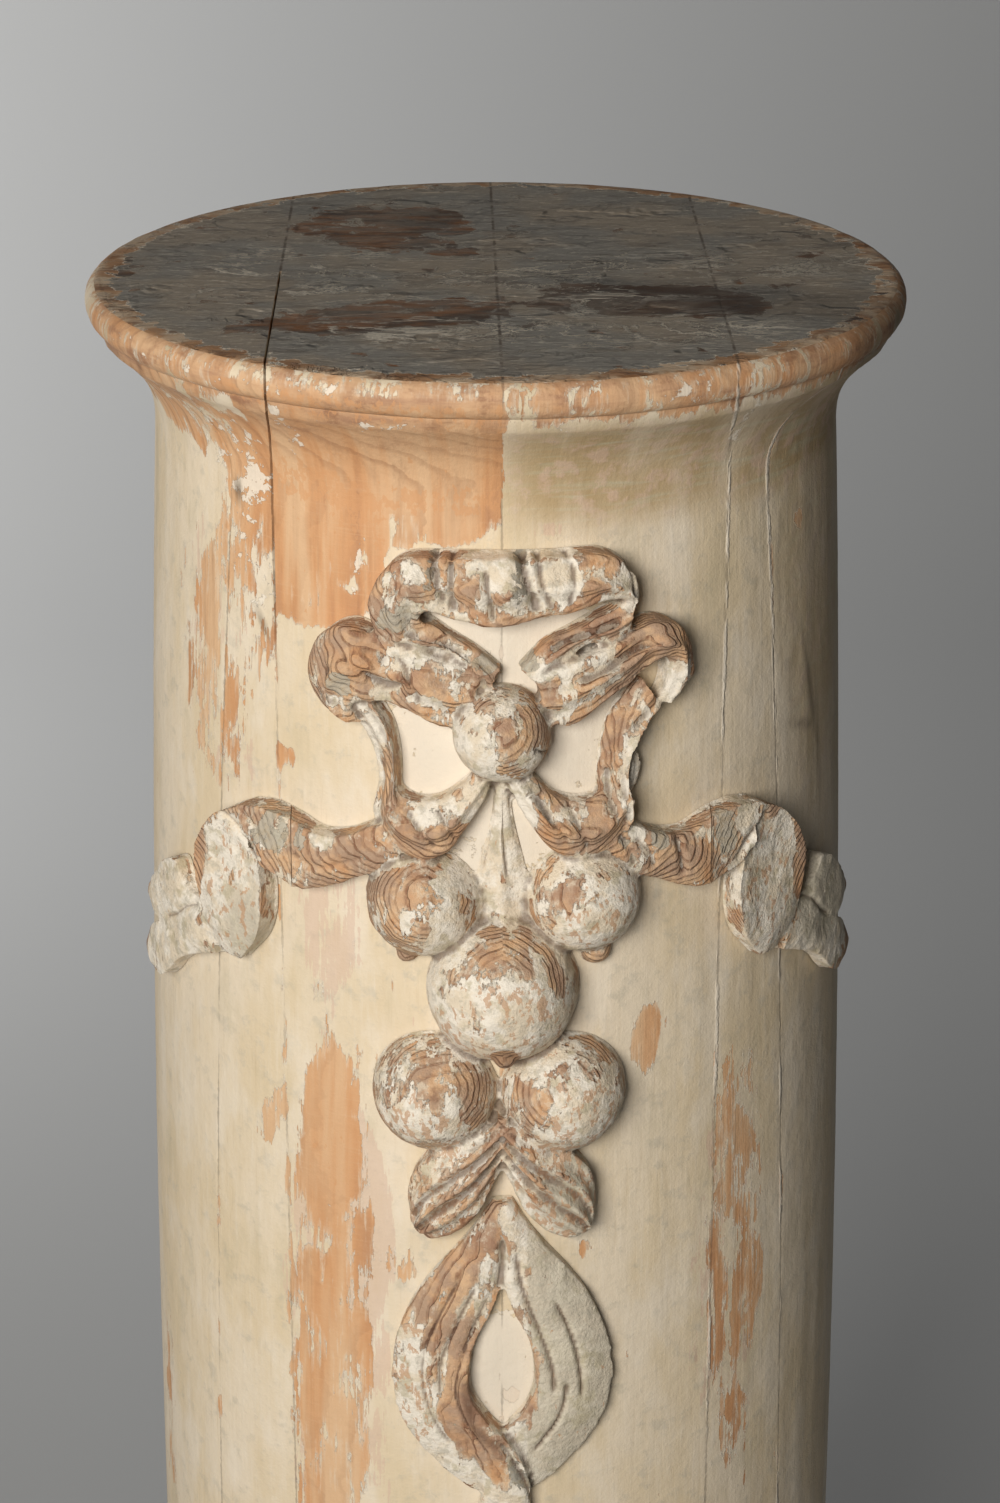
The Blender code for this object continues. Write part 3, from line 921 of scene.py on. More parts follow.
@dataclass(frozen=True)
class TopFinish(Finish):
    """Dull worn paint on the flat top, with flaked cream edges and bare brown places."""

    name: str = "Dull worn paint"
    bump_strength: float = 1.0
    bump_height: float = 0.0018
    dull: Colour = (0.335, 0.270, 0.198)
    dull_blue: Colour = (0.275, 0.250, 0.212)
    dull_dark: Colour = (0.135, 0.105, 0.076)
    bare: Colour = (0.235, 0.095, 0.028)
    bare_dark: Colour = (0.085, 0.050, 0.028)
    flake: Colour = (0.88, 0.77, 0.61)
    edge_wood: Colour = (0.44, 0.235, 0.11)
    edge_pale: Colour = (0.60, 0.44, 0.29)
    crack: Colour = (0.004, 0.003, 0.002)
    worn_from: float = 0.148

    def looks(self, bench: Bench) -> tuple[Signal, Signal, Signal]:
        """The colour, the roughness and the fine relief: torn crests of paint, and a worn edge."""
        flakes = self.effects.flakes
        place = bench.here()
        x, y, _ = place.parts()
        grain = place.stretch(0.3, 1, 1)
        broad, fine, streak = place.cloud(18, 5, 0.55), grain.cloud(680, 5, 0.7), grain.cloud(120, 6, 0.65)
        paint = bench.coats(self.dull, (broad.ramp(0.42, 0.60), self.dull_blue),
                            (streak.ramp(0.52, 0.68, 0, 0.65), self.dull_dark),
                            (fine.ramp(0.54, 0.66, 0, 0.40), self.flake))
        bare = bench.coats(self.bare, (grain.cloud(90, 6, 0.65).ramp(0.42, 0.58), self.bare_dark),
                           (bench.layer(Wear.OCHRE) * 0.85, self.bare_dark))
        level = bench.layer(Wear.CHALK)
        gone = bench.effect(flakes, Level=bench.layer(Wear.BARE), Size=62, Raggedness=2.2, Rim=0.10)
        thin = bench.effect(flakes, Level=level, Size=42, Raggedness=1.6, Rim=0.06, Seed=5)
        outer = bench.distance(x, y).ramp(self.worn_from, FORM.rim_flat_radius, -0.9, 0.45)
        ring = bench.effect(flakes, Level=outer, Size=110, Raggedness=1.5, Rim=0.12, Seed=7)
        worn = bench.coats(self.edge_wood, (place.cloud(60, 5).ramp(0.42, 0.58), self.edge_pale),
                           (streak.ramp(0.52, 0.62, 0, 0.7), self.bare))
        broken = streak.ramp(0.42, 0.50)
        torn = place.stretch(0.45, 1, 1).cloud(34, 8, 0.66, 0.6)
        where = place.cloud(26, 3).ramp(0.40, 0.47)
        crest = abs(torn - 0.52).ramp(0.022, 0.008) * where * level.ramp(-0.85, -0.55)
        flaked = bench.most(thin["Edge"] * broken, gone["Edge"] * broken * 0.6, crest * 0.9)
        seam = bench.effect(self.effects.joints, Width=0.0009)["Near"]
        colour = bench.coats(
            paint,
            (gone["Depth"].ramp(-0.10, 0.30) * streak.ramp(0.60, 0.42, 0.55, 1.0), bare),
            (thin["Gone"] * 0.30, self.dull_dark),
            (flaked, self.flake),
            (ring["Gone"], worn),
            (ring["Edge"] * broken, self.flake),
            (seam * streak.ramp(0.58, 0.44, 0.1, 0.8), self.bare_dark),
            (bench.layer(Wear.SOOT), self.crack),
        )
        relief = bench.pile((gone["Gone"], -0.6), (thin["Gone"], -0.6), (torn.ramp(0.51, 0.53), where),
                            (flaked, 0.7), (fine, 0.6), (streak, 1.0))
        return colour, broad.ramp(0.3, 0.7, 0.50, 0.68), relief


@dataclass(frozen=True)
class CarvingFinish(Finish):
    """Bare carved pine with what is left of its gesso and paint, and painted shade in its hollows."""

    name: str = "Bare carved pine"
    bump_strength: float = 1.0
    bump_height: float = 0.0014

    def looks(self, bench: Bench) -> tuple[Signal, Signal, Signal]:
        """The colour, the roughness and the fine relief: ringed wood under scraps of paint, with painted
        shade in the hollows.
        """
        pine, coat, flakes = self.pine, self.coat, self.effects.flakes
        place = bench.here()
        rings = bench.effect(self.effects.rings, Pitch=0.0018, Wander=0.40, Pith=0.16, Slant=0.42)
        grain = bench.effect(self.effects.grain, Length=0.06)
        mottle, tint, chalky = place.cloud(75, 6, 0.65), place.cloud(85, 6, 0.65), place.cloud(230, 6, 0.7)
        worn = bench.effect(flakes, Level=bench.layer(Wear.BARE), Size=120, Raggedness=1.7, Streaks=0.7,
                            Streakiness=0.30, Rim=0.10)
        gone = worn["Gone"]
        loose = bench.layer("fleck") - 0.62
        specks = bench.effect(flakes, Level=loose, Size=300, Raggedness=1.5, Streaks=0.6, Seed=6)["Gone"]
        patch = bench.effect(flakes, Level=bench.layer("patch"), Size=150, Raggedness=2, Seed=8)["Gone"]
        wash = worn["Depth"].ramp(0.55, 0.02, 0.06, 0.75) * chalky.ramp(0.44, 0.58)
        broken = worn["Edge"] * tint.ramp(0.44, 0.54, 0, 0.9)
        wood = bench.coats(
            pine.tan,
            (rings["Tone"].ramp(0.40, 0.60), pine.pale),
            (mottle.ramp(0.44, 0.58, 0, 0.9), pine.ash),
            (mottle.ramp(0.44, 0.34, 0, 0.7), pine.early),
            (place.cloud(40, 5, 0.6).ramp(0.52, 0.64, 0, 0.6), pine.rose),
            (rings["Line"] * grain["Fibre"].ramp(0.36, 0.60, 0.30, 0.90), pine.late),
            (grain["Streak"].ramp(0.55, 0.75, 0, 0.3), pine.late),
            # Painted shade: the wood darkens towards deep brown in the carving's hollows.
            (bench.layer("hollow").ramp(0.05, 0.6, 0, 0.6), pine.deep),
            (wash, coat.cream),
        )
        green = bench.coats(coat.grey, (tint.ramp(0.42, 0.60), coat.olive))
        # The ochre layer turns these patches dark grey: grey paint in the folds, darkened further as painted
        # shade of the recesses.
        dull = bench.coats(coat.grey, (bench.layer(Wear.OCHRE), coat.dark_grey),
                           (chalky.ramp(0.48, 0.60, 0, 0.4), coat.ochre))
        colour = bench.coats(
            coat.cream,
            (tint.ramp(0.42, 0.56), coat.chalk),
            (chalky.ramp(0.50, 0.62, 0, 0.55), coat.grey),
            (place.cloud(110, 5, 0.6).ramp(0.54, 0.64, 0, 0.6), coat.olive),
            (bench.layer(Wear.GREY), green),
            (specks * 0.75, pine.tan),
            (gone, wood),
            (patch * 0.85, dull),
            (broken, coat.gesso),
            # Painted shade: the soot layer darkens the carving's creases towards deep brown.
            (bench.layer(Wear.SOOT), pine.deep),
        )
        relief = bench.pile((gone, -0.40), (rings["Line"], gone * 0.45), (broken, 0.15), (patch, 0.25),
                            (chalky, 0.60), (place.cloud(700, 4, 0.6), 0.45))
        return colour, gone.ramp(0, 1, 0.6, 0.72), relief


@dataclass
class TurnedBlock:
    """The turned block of glued pine boards, with its joints, cracks and worn coats."""

    bench: Workbench
    front_arc: float = 200.0
    front_steps: int = 240
    back_steps: int = 80
    joints: tuple[float, ...] = (-FORM.board, 0.0, FORM.board)
    joint_width: float = 0.0005
    joint_depth: float = 0.0004
    open_depth: float = 0.0022
    lathe_ripple: float = 0.00018
    dents: float = 0.0004
    sharp_from: float = 50.0
    places: tuple[WornPlace, ...] = (
        *worn(Wear.BARE, (-50, 34, 120, 52, 1.9, 4, 0, 8, -BOARD, 0),
              (-80, 78, 66, 66, 1.7, 7, 0, 2.6, -BOARD, 0), (-34, 62, 74, 24, 1.6, 6, -8, 3, -BOARD, 0),
              (-40, 104, 20, 34, -1.5, 6, 20, 2.6, -BOARD, 0), (-57, 74, 4, 34, -1.3, 3, 14, 2, -BOARD, 0),
              (-62, 92, 12, 6, -1, 4, 0, 2, -BOARD, 0), (-150, 34, 120, 34, 1.15, 10, 8, 3, -FAR, -BOARD),
              (-106, 58, 26, 52, 0.85, 8, 0, 2.4, -FAR, -BOARD),
              (-122, 120, 44, 150, 0.92, 16, 8, 2, -FAR, -BOARD), (-150, 130, 30, 110, 0.8, 14),
              (-72, 430, 36, 290, 1.22, 14, 1, 3), (-74, 330, 26, 80, 0.85, 12),
              (106, 405, 34, 220, 1.02, 16), (-102, 330, 15, 34, 1, 5, 25), (60, 284, 14, 34, 1.25, 5, 6),
              (-93, 167, 11, 9, 1.1, 4), (-41, 383, 20, 22, 0.95), (34, 378, 7, 9, 1, 4),
              (-192, 520, 18, 150, 0.8, 14), (4, 445, 8, 8, 1.35, 3, 30), (149, 82, 8, 10, 1.4, 3),
              (-97, 232, 4, 24, 0.8, 4)),
        *worn(Wear.STAIN, (-72, 232, 34, 76, 1.05, 16), (-40, 250, 30, 60, 0.7, 16),
              (-58, 372, 26, 80, 1, 12), (-70, 420, 54, 300, 0.95, 14, 0, 2.6),
              (100, 400, 46, 220, 0.85, 16, 0, 2.6), (-130, 120, 60, 160, 0.75, 16, 0, 2.6),
              (22, 66, 26, 10, 0.9, 8)),
        # The first soot place darkens the rim's right end, and a wedge of the top on that side.
        *worn(Wear.SOOT, (172, 10, 60, 26, 0.42, 12, 0, 3), (-121, 63, 3.5, 9, 0.8, 3),
              (-106, 115, 3, 11, 0.6, 3, -30), (160, 160, 4, 46, 0.55, 4, -16),
              (152, 172, 22, 4, 0.45, 4, 18), (168, 186, 3, 46, 0.5, 3, -4)),
        *worn(Wear.OCHRE, (160, 10, 110, 34, 0.85, 12, 0, 3), (-160, 10, 90, 30, 0.6, 12, 0, 3),
              (52, 42, 100, 44, 1, 16, 0, 4, 0, BOARD), (150, 40, 110, 52, 1, 18, 0, 4, BOARD),
              (170, 120, 60, 200, 0.55, 40)),
        *worn(Wear.CHALK, (2, 140, 96, 96, 1.5, 10, 0, 3), (0, 434, 30, 60, 1.5, 8, 0, 3),
              (0, 196, 60, 60, 1.2, 10, 0, 3), (-70, 6, 46, 9, 0.45, 6, 0, 3),
              (-140, 8, 70, 8, 0.5, 8, 0, 3), (66, 8, 40, 12, 0.5, 8), (24, 24, 40, 7, 0.6),
              (-84, 30, 12, 30, 0.75, 6, 0, 2, -BOARD), (-120, 46, 56, 40, 0.72, 14),
              (-112, 84, 26, 60, 0.66, 10), (-40, 20, 60, 8, 0.7, 6, -6), (-58, 78, 6, 44, 0.85, 4, 12),
              (98, 34, 7, 40, 0.9, 4, -8), (-95, 104, 24, 14, 0.5), (-70, 400, 34, 240, 0.22, 16)),
    )
    top_bare: tuple[WornPlace, ...] = (
        *worn(Wear.BARE, (-44, -72, 110, 44, 1.6, 14, 16, 2.2), (-100, -46, 60, 20, 0.7, 10, 10),
              (-46, 78, 76, 80, 1.35, 22, -20, 2.2), (-16, 32, 34, 8, 1.2, 4, 8)),
        *worn(Wear.OCHRE, (60, -49, 92, 52, 1.5, 8, -6, 3), (122, -22, 36, 12, 1.1, 8, 24),
              (131, 27, 14, 16, 1.3), (140, 84, 16, 70, 0.9, 12, -28), (-156, 10, 14, 44, 1, 10)),
        *worn(Wear.CHALK, (-20, -20, 190, 60, 0.55, 40), (60, 4, 170, 50, 0.5, 30, 6),
              (20, -92, 170, 50, 0.5, 30), (-80, 20, 80, 50, 0.35, 30)),
    )

    def mesh(self) -> Piece:
        """Turns the block and cuts its board joints.

        Returns:
            The piece.
        """
        body = bmesh.new()
        line = self.bench.profile(body, FORM.outline())
        arc = math.radians(self.front_arc)
        bmesh.ops.rotate(body, verts=body.verts, matrix=Matrix.Rotation(-math.pi / 2 - arc / 2, 3, "Z"))
        line = self.bench.spin(body, line, arc, self.front_steps)
        self.bench.spin(body, line, 2 * math.pi - arc, self.back_steps)
        bmesh.ops.remove_doubles(body, verts=body.verts, dist=MERGE)
        cuts = [((x, 0, 0), (1, 0, 0)) for x in self.joints] + [((0, FORM.side_joint, 0), (0, 1, 0))]
        for place, way in cuts:
            for offset in (-self.joint_width, 0.0, self.joint_width):
                point = Vector(place) + Vector(way) * offset
                bmesh.ops.bisect_plane(body, geom=[*body.verts, *body.edges, *body.faces], dist=0.00001,
                                       plane_co=point, plane_no=way)
        return self.bench.piece("turned_block", body)

    def joint_share(self, places: np.ndarray) -> np.ndarray:
        """How much of a board joint's depth each vertex has: 1 on its middle line."""
        share = np.zeros(len(places))
        for x in self.joints:
            share = np.maximum(share, 1 - np.abs(places[:, 0] - x) / (0.6 * self.joint_width))
        front = 1 - np.abs(places[:, 1] - FORM.side_joint) / (0.6 * self.joint_width)
        on_top = places[:, 2] > FORM.height - FORM.rim_nose_depth
        return np.clip(np.maximum(share, np.where(on_top, 0.0, front)), 0.0, 1.0)

    def weather(self, piece: Piece) -> None:
        """Opens the joints, roughs the skin, and writes the wear layers."""
        mesh = piece.data
        places, ways = corners(mesh)
        flat_top = (places[:, 2] > FORM.height - 0.0003) & (ways[:, 2] > 0.7)
        across, drop, lift = FORM.unwrap(places)
        joint = self.joint_share(places)
        gape = 0.35 + 0.65 * np.clip(unevenness(places, 0.045, 3) + 0.3, 0, 1)
        left = soft_step(-np.abs(places[:, 0] + FORM.board), -0.002, -0.0004) * (places[:, 1] < 0)
        open_left = left * soft_step(-drop, -150, -90)
        middle = soft_step(-np.abs(places[:, 0]), -0.002, -0.0004)
        gape *= (1 - 0.75 * middle) * np.where(flat_top, 0.3, 1 - 0.6 * soft_step(drop, 60, 200))
        depth = joint * (self.joint_depth * gape + self.open_depth * open_left)
        ripple = self.lathe_ripple * unevenness(np.column_stack([across, drop * 0.12, lift]), 9.0, 5)
        ripple += 0.5 * self.lathe_ripple * unevenness(np.column_stack([across, drop * 0.3, lift]), 3.0, 6)
        ripple -= self.dents * np.clip(unevenness(places, 0.012, 8) - 0.55, 0, 1) * (np.abs(drop - 8) < 12)
        ripple = np.where(flat_top, 0.5 * ripple, ripple) - 2.0 * self.lathe_ripple
        at_foot = places[:, 2] < 0.003
        move = np.where(at_foot, 0.0, ripple - depth)
        mesh.vertices.foreach_set("co", (places + ways * move[:, None]).astype(np.float32).ravel())
        self.write_wear(piece, places, joint, open_left)

    def write_wear(self, piece: Piece, places: np.ndarray, joint: np.ndarray,
                   open_left: np.ndarray) -> None:
        """Writes how worn each part of the skin is.

        Args:
            piece: The block.
            places: Its vertices' places.
            joint: Each vertex's share of a joint.
            open_left: Where the left joint stands open.
        """
        across, drop, lift = FORM.unwrap(places)
        layers = {wear: np.zeros(len(places)) for wear in (Wear.OCHRE, Wear.SOOT)}
        base = -0.92 + 0.14 * unevenness(places, 0.09, 2)
        rim = soft_step(-drop, -23, -17)
        worn_rim = 1.22 + 0.35 * unevenness(places, 0.05, 11) - 0.5 * soft_step(places[:, 1], 0.02, 0.12)
        back = soft_step(np.abs(across), 200, 300)
        layers[Wear.BARE] = base + rim * worn_rim
        layers[Wear.BARE] += 0.30 * back * soft_step(unevenness(places, 0.11, 21), 0.1, 0.9)
        layers[Wear.STAIN] = np.full(len(places), -1.0)
        layers[Wear.CHALK] = np.full(len(places), -0.95) + 0.22 * rim
        for place in self.places:
            mark = np.maximum if place.wear in (Wear.OCHRE, Wear.SOOT) else np.add
            layers[place.wear] = mark(layers[place.wear], place.reach(across, drop))
        layers[Wear.SOOT] = np.maximum(layers[Wear.SOOT], np.clip(joint * 0.9 * open_left, 0, 1))
        inside = np.hypot(places[:, 0], places[:, 1]) < FORM.radius_at(FORM.height - 0.0002) - 0.0015
        self.write_top(layers, places, (places[:, 2] > FORM.height - 0.0006) & inside)
        for wear, values in layers.items():
            self.bench.note(piece, wear.value, values)

    def write_top(self, layers: dict[Wear, np.ndarray], places: np.ndarray, top: np.ndarray) -> None:
        """Writes how worn the flat top is: bare brown places in its dark paint.

        Args:
            layers: The wear layers, changed in place.
            places: The vertices' places.
            top: Which vertices are on the top.
        """
        x, y = places[:, 0] / MM, places[:, 1] / MM
        bare = np.full(len(places), -0.80) + 0.15 * unevenness(places, 0.05, 31)
        darker = np.zeros(len(places))
        chalk = np.full(len(places), -0.85)
        for place in self.top_bare:
            reach = place.on_flat(x, y)
            if place.wear is Wear.CHALK:
                chalk += reach
            else:
                bare += reach
            if place.wear is Wear.OCHRE:
                darker = np.maximum(darker, np.clip(reach, 0, 1))
        for wear, values in ((Wear.BARE, bare), (Wear.CHALK, chalk), (Wear.OCHRE, darker)):
            layers[wear] = np.where(top, values, layers[wear])

    def dress(self, piece: Piece, shaft: Material, top: Material) -> None:
        """Gives the block its two finishes."""
        piece.data.materials.append(shaft)
        piece.data.materials.append(top)
        for face in piece.data.polygons:
            face.material_index = int(face.normal.z > 0.9 and face.center.z > FORM.height - 0.0015)

    def build(self, shaft: Material, top: Material) -> Piece:
        """Builds the block.

        Args:
            shaft: The finish of its sides.
            top: The finish of its flat top.

        Returns:
            The piece.
        """
        piece = self.mesh()
        self.weather(piece)
        self.dress(piece, shaft, top)
        self.bench.smooth(piece, self.sharp_from)
        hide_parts("column")
        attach(piece, "root")
        return piece


@dataclass(frozen=True)
class CentreMarks:
    """The gouge lines and worn places of the middle stretch: bow, fruit, leaves and husks."""

    gouges: tuple[GougeLine, ...] = gouged(
        (((-26, 70), (-24, 81), (-21, 92)), 1.6, 2), (((-19, 70), (-19, 84), (-18, 95)), 1.5, 1.8),
        (((-7, 76), (-5, 88), (-3, 98)), 1.6, 2.2), (((7, 68), (9, 80), (14, 96)), 2, 3),
        (((13, 68), (15, 84), (19, 95)), 1.4, 1.8), (((24, 70), (26, 81), (24, 94)), 1.4, 1.2),
        (((1, 70), (2, 82), (4, 96)), 2.6, -0.9), (((47, 74), (50, 84), (50, 100)), 1.3, 1.5),
        (((-30, 99), (-27, 97), (-25, 99)), 1.6, 3),
        (((-38, 104), (-28, 106), (-18, 110), (-9, 118)), 1.3, 1.6),
        (((16, 112), (26, 106), (36, 103), (46, 99)), 1.3, 1.6),
        (((-62, 112), (-52, 120), (-44, 126), (-34, 124)), 1.8, 1.5),
        (((-40, 112), (-34, 122), (-30, 134)), 1.5, 1.3), (((-66, 118), (-68, 128), (-64, 138)), 1.8, 1.6),
        (((26, 124), (38, 119), (50, 112), (62, 110)), 1.6, 1.5),
        (((34, 134), (46, 126), (56, 119)), 1.1, 0.9), (((-36, 176), (-30, 184), (-24, 192)), 1.4, 1),
        (((-26, 174), (-20, 182), (-16, 190)), 1.4, 1), (((12, 168), (18, 178), (24, 190)), 1.5, 1.5),
        (((24, 172), (28, 182), (32, 194)), 1.3, 1), (((40, 160), (40, 172), (44, 184)), 1.4, 1.4),
        (((11, 147), (15, 150), (18, 153)), 0.8, 1.8),
        (((-4, 166), (-5, 180), (-7, 196), (-9, 208)), 1, 1.5),
        (((0, 166), (0.5, 182), (1.5, 196), (3, 210)), 0.9, 1.2),
        (((3, 166), (5, 182), (8, 196), (10, 208)), 1, 1.3),
        (((-84, 200), (-72, 206), (-60, 202), (-50, 197)), 1.6, 0.7),
        (((50, 190), (56, 198), (58, 206)), 1.6, 1.4), (((44, 188), (48, 196), (50, 204)), 1.3, 1.2),
        (((68, 192), (69, 201), (70, 212)), 1.5, 1.8),
        (((5, 370), (7, 388), (13, 408), (19, 428), (20, 444)), 1.1, 2),
        (((19, 394), (25, 408), (29, 422), (31, 436), (31, 446)), 0.9, 2),
        (((25, 434), (24, 446), (19, 459), (11, 471)), 0.9, 1.7),
        (((-12, 376), (-22, 398), (-30, 420), (-31, 438), (-26, 456), (-17, 470)), 1.2, 1.2),
        (((-8, 384), (-17, 406), (-24, 427), (-24, 446)), 1.1, 1.2),
        (((-3, 388), (-9, 404), (-16, 424), (-18, 442), (-12, 458), (-2, 474)), 1, 1.2),
        (((0, 366), (0, 380), (-1, 392)), 1.2, 2.5), (((-2, 460), (4, 472), (10, 486), (14, 500)), 1.3, 2)
    )
    places: tuple[WornPlace, ...] = (
        *worn(Wear.CREAM, (6, 79, 44, 28, 0.83, 8, 0, 3), (25, 82, 6, 18, 0.79, 4, 0, 3),
              (49, 84, 8, 26, 0.94, 4, 0, 3), (34, 95, 36, 8, 0.86, 6, -18, 2.4),
              (-22, 95, 20, 5, 0.65, 6, 20, 2.4), (0, 192, 24, 64, 1, 5, 0, 3), (68, 132, 10, 26, 0.9, 5),
              (-28, 130, 20, 6, 0.8, 4, 12), (34, 128, 24, 5, 0.8, 4, -38), (13, 119, 9, 9, 0.79, 4),
              (-33, 112, 16, 8, 0.79, 6, 10), (-19, 121, 9, 14, 0.79, 6, -20),
              (-50, 152, 9, 40, 0.72, 6, 0, 2.4), (26, 116, 24, 6, 0.72, 6, -20),
              (50, 160, 8, 40, 0.79, 6, 0, 2.4), (24, 132, 7, 16, 0.72, 6, 10), (-28, 180, 9, 11, 1.08, 4),
              (-14, 172, 14, 20, 0.72, 7, 30), (22, 178, 8, 5, 0.94, 4), (30, 180, 6, 6, 0.86, 4),
              (-12, 151, 20, 12, 1.15, 6, 25), (-10, 140, 18, 16, 0.43, 7), (-2, 149, 8, 10, 0.72),
              (9, 154, 14, 16, 0.5, 8), (-20, 222, 16, 34, 0.54, 11), (-34, 219, 6, 11, 0.94, 4),
              (-17, 204, 12, 12, 0.72), (42, 222, 34, 40, 0.79, 14, 0, 2.2), (30, 232, 26, 16, 0.5, 11),
              (28, 200, 18, 12, 0.65, 8), (1, 264, 60, 46, 0.97, 17, 0, 2.4), (-24, 250, 14, 40, 0.5, 11),
              (-30, 308, 34, 34, 0.61, 17), (-16, 302, 8, 22, 0.43), (30, 306, 40, 40, 0.72, 17, 0, 2.2),
              (-24, 344, 34, 36, 0.32, 14), (20, 344, 44, 50, 0.68, 11, 0, 2.4),
              (28, 420, 60, 140, 1.08, 11, 0, 3, 12), (8, 380, 14, 60, 0.79, 8, 0, 2.4),
              (22, 456, 40, 60, 0.65, 14, 0, 2.4), (-36, 440, 18, 70, 0.61, 8, -8, 2.4),
              (-26, 474, 32, 40, 0.79, 11, -30, 2.4), (-19, 404, 5, 56, 0.54, 4, 24, 2.4),
              (-6, 388, 6, 40, 0.54, 4, 18, 2.4), (-24, 434, 5, 40, 0.65, 4, 6, 2.4),
              (6, 500, 40, 60, 0.86, 14, 0, 2.4), (-27, 402, 4, 44, 1.1, 3, 26, 2.4),
              (-13, 396, 3, 44, 1.1, 3, 22, 2.4), (-22, 424, 3, 30, 1, 3, 4, 2.4),
              (-70, 193, 12, 14, 1.01, 4, 0, 2.2), (-53, 184, 10, 6, 0.86, 4), (51, 189, 7, 6, 0.94, 4)),
        *worn(Wear.BARE, (-13, 85, 10, 17, 1.08, 6, 0, 3), (-2, 90, 6, 10, 0.86, 4),
              (-22, 253, 5, 20, 0.5, 4, 14), (20, 246, 6, 16, 0.79, 4, -22), (-20, 398, 22, 48, 1, 8, 24),
              (-20, 436, 12, 50, 1.1), (-10, 466, 14, 44, 1, 6, -34), (14, 440, 8, 44, 1.1, 5),
              (0.6, 279, 11, 13, 1.6, 3, 0, 2.4), (-38, 242, 12, 12, 1.2, 3, 0, 2.4),
              (38, 240, 12, 14, 0.9, 4), (-60, 118, 26, 26, 0.7, 8), (58, 112, 26, 20, 0.7, 8),
              (-30, 190, 20, 16, 0.7, 8), (30, 188, 26, 14, 0.7, 8), (-62, 202, 34, 16, 0.6, 8),
              (72, 206, 30, 14, 0.8, 8)),
        # The ochre places lay dark grey in the two fold valleys of the bow's top loop, partly grey paint and
        # partly painted shade, and a dark line along the lower husk fold, which is painted shadow.
        *worn(Wear.OCHRE, (7, 80, 6, 24, 1.15, 3, 0, 3), (-26, 77, 5, 12, 1.2, 3),
              (8, 482, 7, 30, 1.25, 3, -22, 2.4)),
        # The soot places darken the centre fruit's nub, and two grooves of the left husk as painted shade.
        *worn(Wear.SOOT, (0.6, 279, 9, 11, 0.4, 3), (-13, 444, 4, 22, 0.7, 3, -8, 2.4),
              (-8, 458, 4, 18, 0.6, 3, -40, 2.4)),
        *worn(Wear.CHALK, (-39, 96, 15, 11, 1.4, 4), (-41, 101, 12, 7, 1.3, 4), (-61, 126, 10, 11, 1.5, 3),
              (-7, 117, 11, 8, 1.4, 3), (10, 116, 10, 8, 1.4, 3), (12, 166, 10, 8, 1.2, 4),
              (-79, 196, 5, 20, 1.1, 3), (61, 193, 8, 9, 1.5, 3, 0, 3), (46, 191, 7, 8, 1.1, 3)),
        *worn(Wear.STAIN, (1, 264, 56, 44, 0.42, 10), (24, 306, 44, 40, 0.45, 10),
              (-30, 308, 40, 36, 0.5, 10), (36, 222, 36, 36, 0.4, 10), (-22, 346, 40, 50, 0.5, 10),
              (22, 346, 40, 50, 0.5, 10), (-36, 440, 20, 80, 0.5, 8, 0, 2.4)),
        *worn(Wear.GREY, (28, 344, 26, 44, 0.55, 12), (28, 424, 60, 130, 0.5, 16, 0, 2.6, 10)),
    )


@dataclass(frozen=True)
class RibbonMarks:
    """The gouge lines and worn places of a ribbon's outer stretch, drawn for the right side."""

    gouges: tuple[GougeLine, ...] = gouged(
        (((113, 194), (106, 199), (100, 204), (94, 212)), 1.8, 2.2),
        (((104, 196), (102, 206), (103, 218)), 2.5, 0.8),
        (((135, 240), (146, 246), (156, 256), (166, 262)), 1.2, 1.5)
    )
    left_gouges: tuple[GougeLine, ...] = gouged(
        (((-119, 194), (-112, 199), (-104, 204), (-99, 213)), 1.8, 2.2),
        (((-112, 206), (-106, 216), (-100, 232)), 3, 0.7),
        (((-137, 244), (-146, 248), (-156, 256), (-168, 262)), 1.2, 1.5),
        (((-108, 190), (-100, 196), (-94, 206)), 1.2, 1)
    )
    places: tuple[WornPlace, ...] = (
        *worn(Wear.CREAM, (112, 228, 34, 60, 1.08, 11, 0, 3), (99, 193, 10, 12, 0.72),
              (160, 258, 60, 60, 0.94, 11, 0, 3)),
        *worn(Wear.BARE, (133, 228, 6, 70, 0.72, 4, -4, 2.4), (98, 234, 4, 40, 0.58, 4),
              (103, 228, 3, 14, 1.01, 3, -12), (107, 240, 4, 8, 0.86, 3), (190, 258, 10, 12, 0.86),
              (188, 282, 10, 12, 0.65)),
        *worn(Wear.CHALK, (90, 197, 10, 18, 1.5, 3, 0, 3)),
        *worn(Wear.GREY, (160, 250, 50, 40, 0.5, 10)),
        *worn(Wear.STAIN, (112, 228, 30, 60, 0.35, 8, 0, 3)),
    )
    left_places: tuple[WornPlace, ...] = (
        *worn(Wear.CREAM, (-116, 228, 36, 62, 1.08, 11, 0, 3), (-164, 262, 62, 62, 1.01, 11, 0, 3)),
        *worn(Wear.GREY, (-106, 244, 22, 36, 0.6, 12)),
        *worn(Wear.BARE, (-134, 224, 5, 50, 0.79, 4, 4, 2.4), (-126, 200, 12, 8, 0.5),
              (-114, 223, 4, 8, 0.94, 3, 10), (-190, 238, 18, 26, 1.7, 4), (-192, 276, 14, 30, 1.8, 4),
              (-172, 232, 20, 8, 1.3, 3, -14), (-132, 216, 7, 40, 0.9, 3, 8),
              (-174, 234, 16, 9, 1.08, 6, -18), (-186, 248, 6, 20, 1.15, 4), (-190, 274, 9, 26, 1.22, 4)),
        *worn(Wear.CHALK, (-91, 196, 13, 18, 1.4, 4, 0, 3), (-102, 202, 7, 16, 1, 4, 20)),
        *worn(Wear.STAIN, (-116, 228, 34, 60, 0.32, 8, 0, 3)),
    )


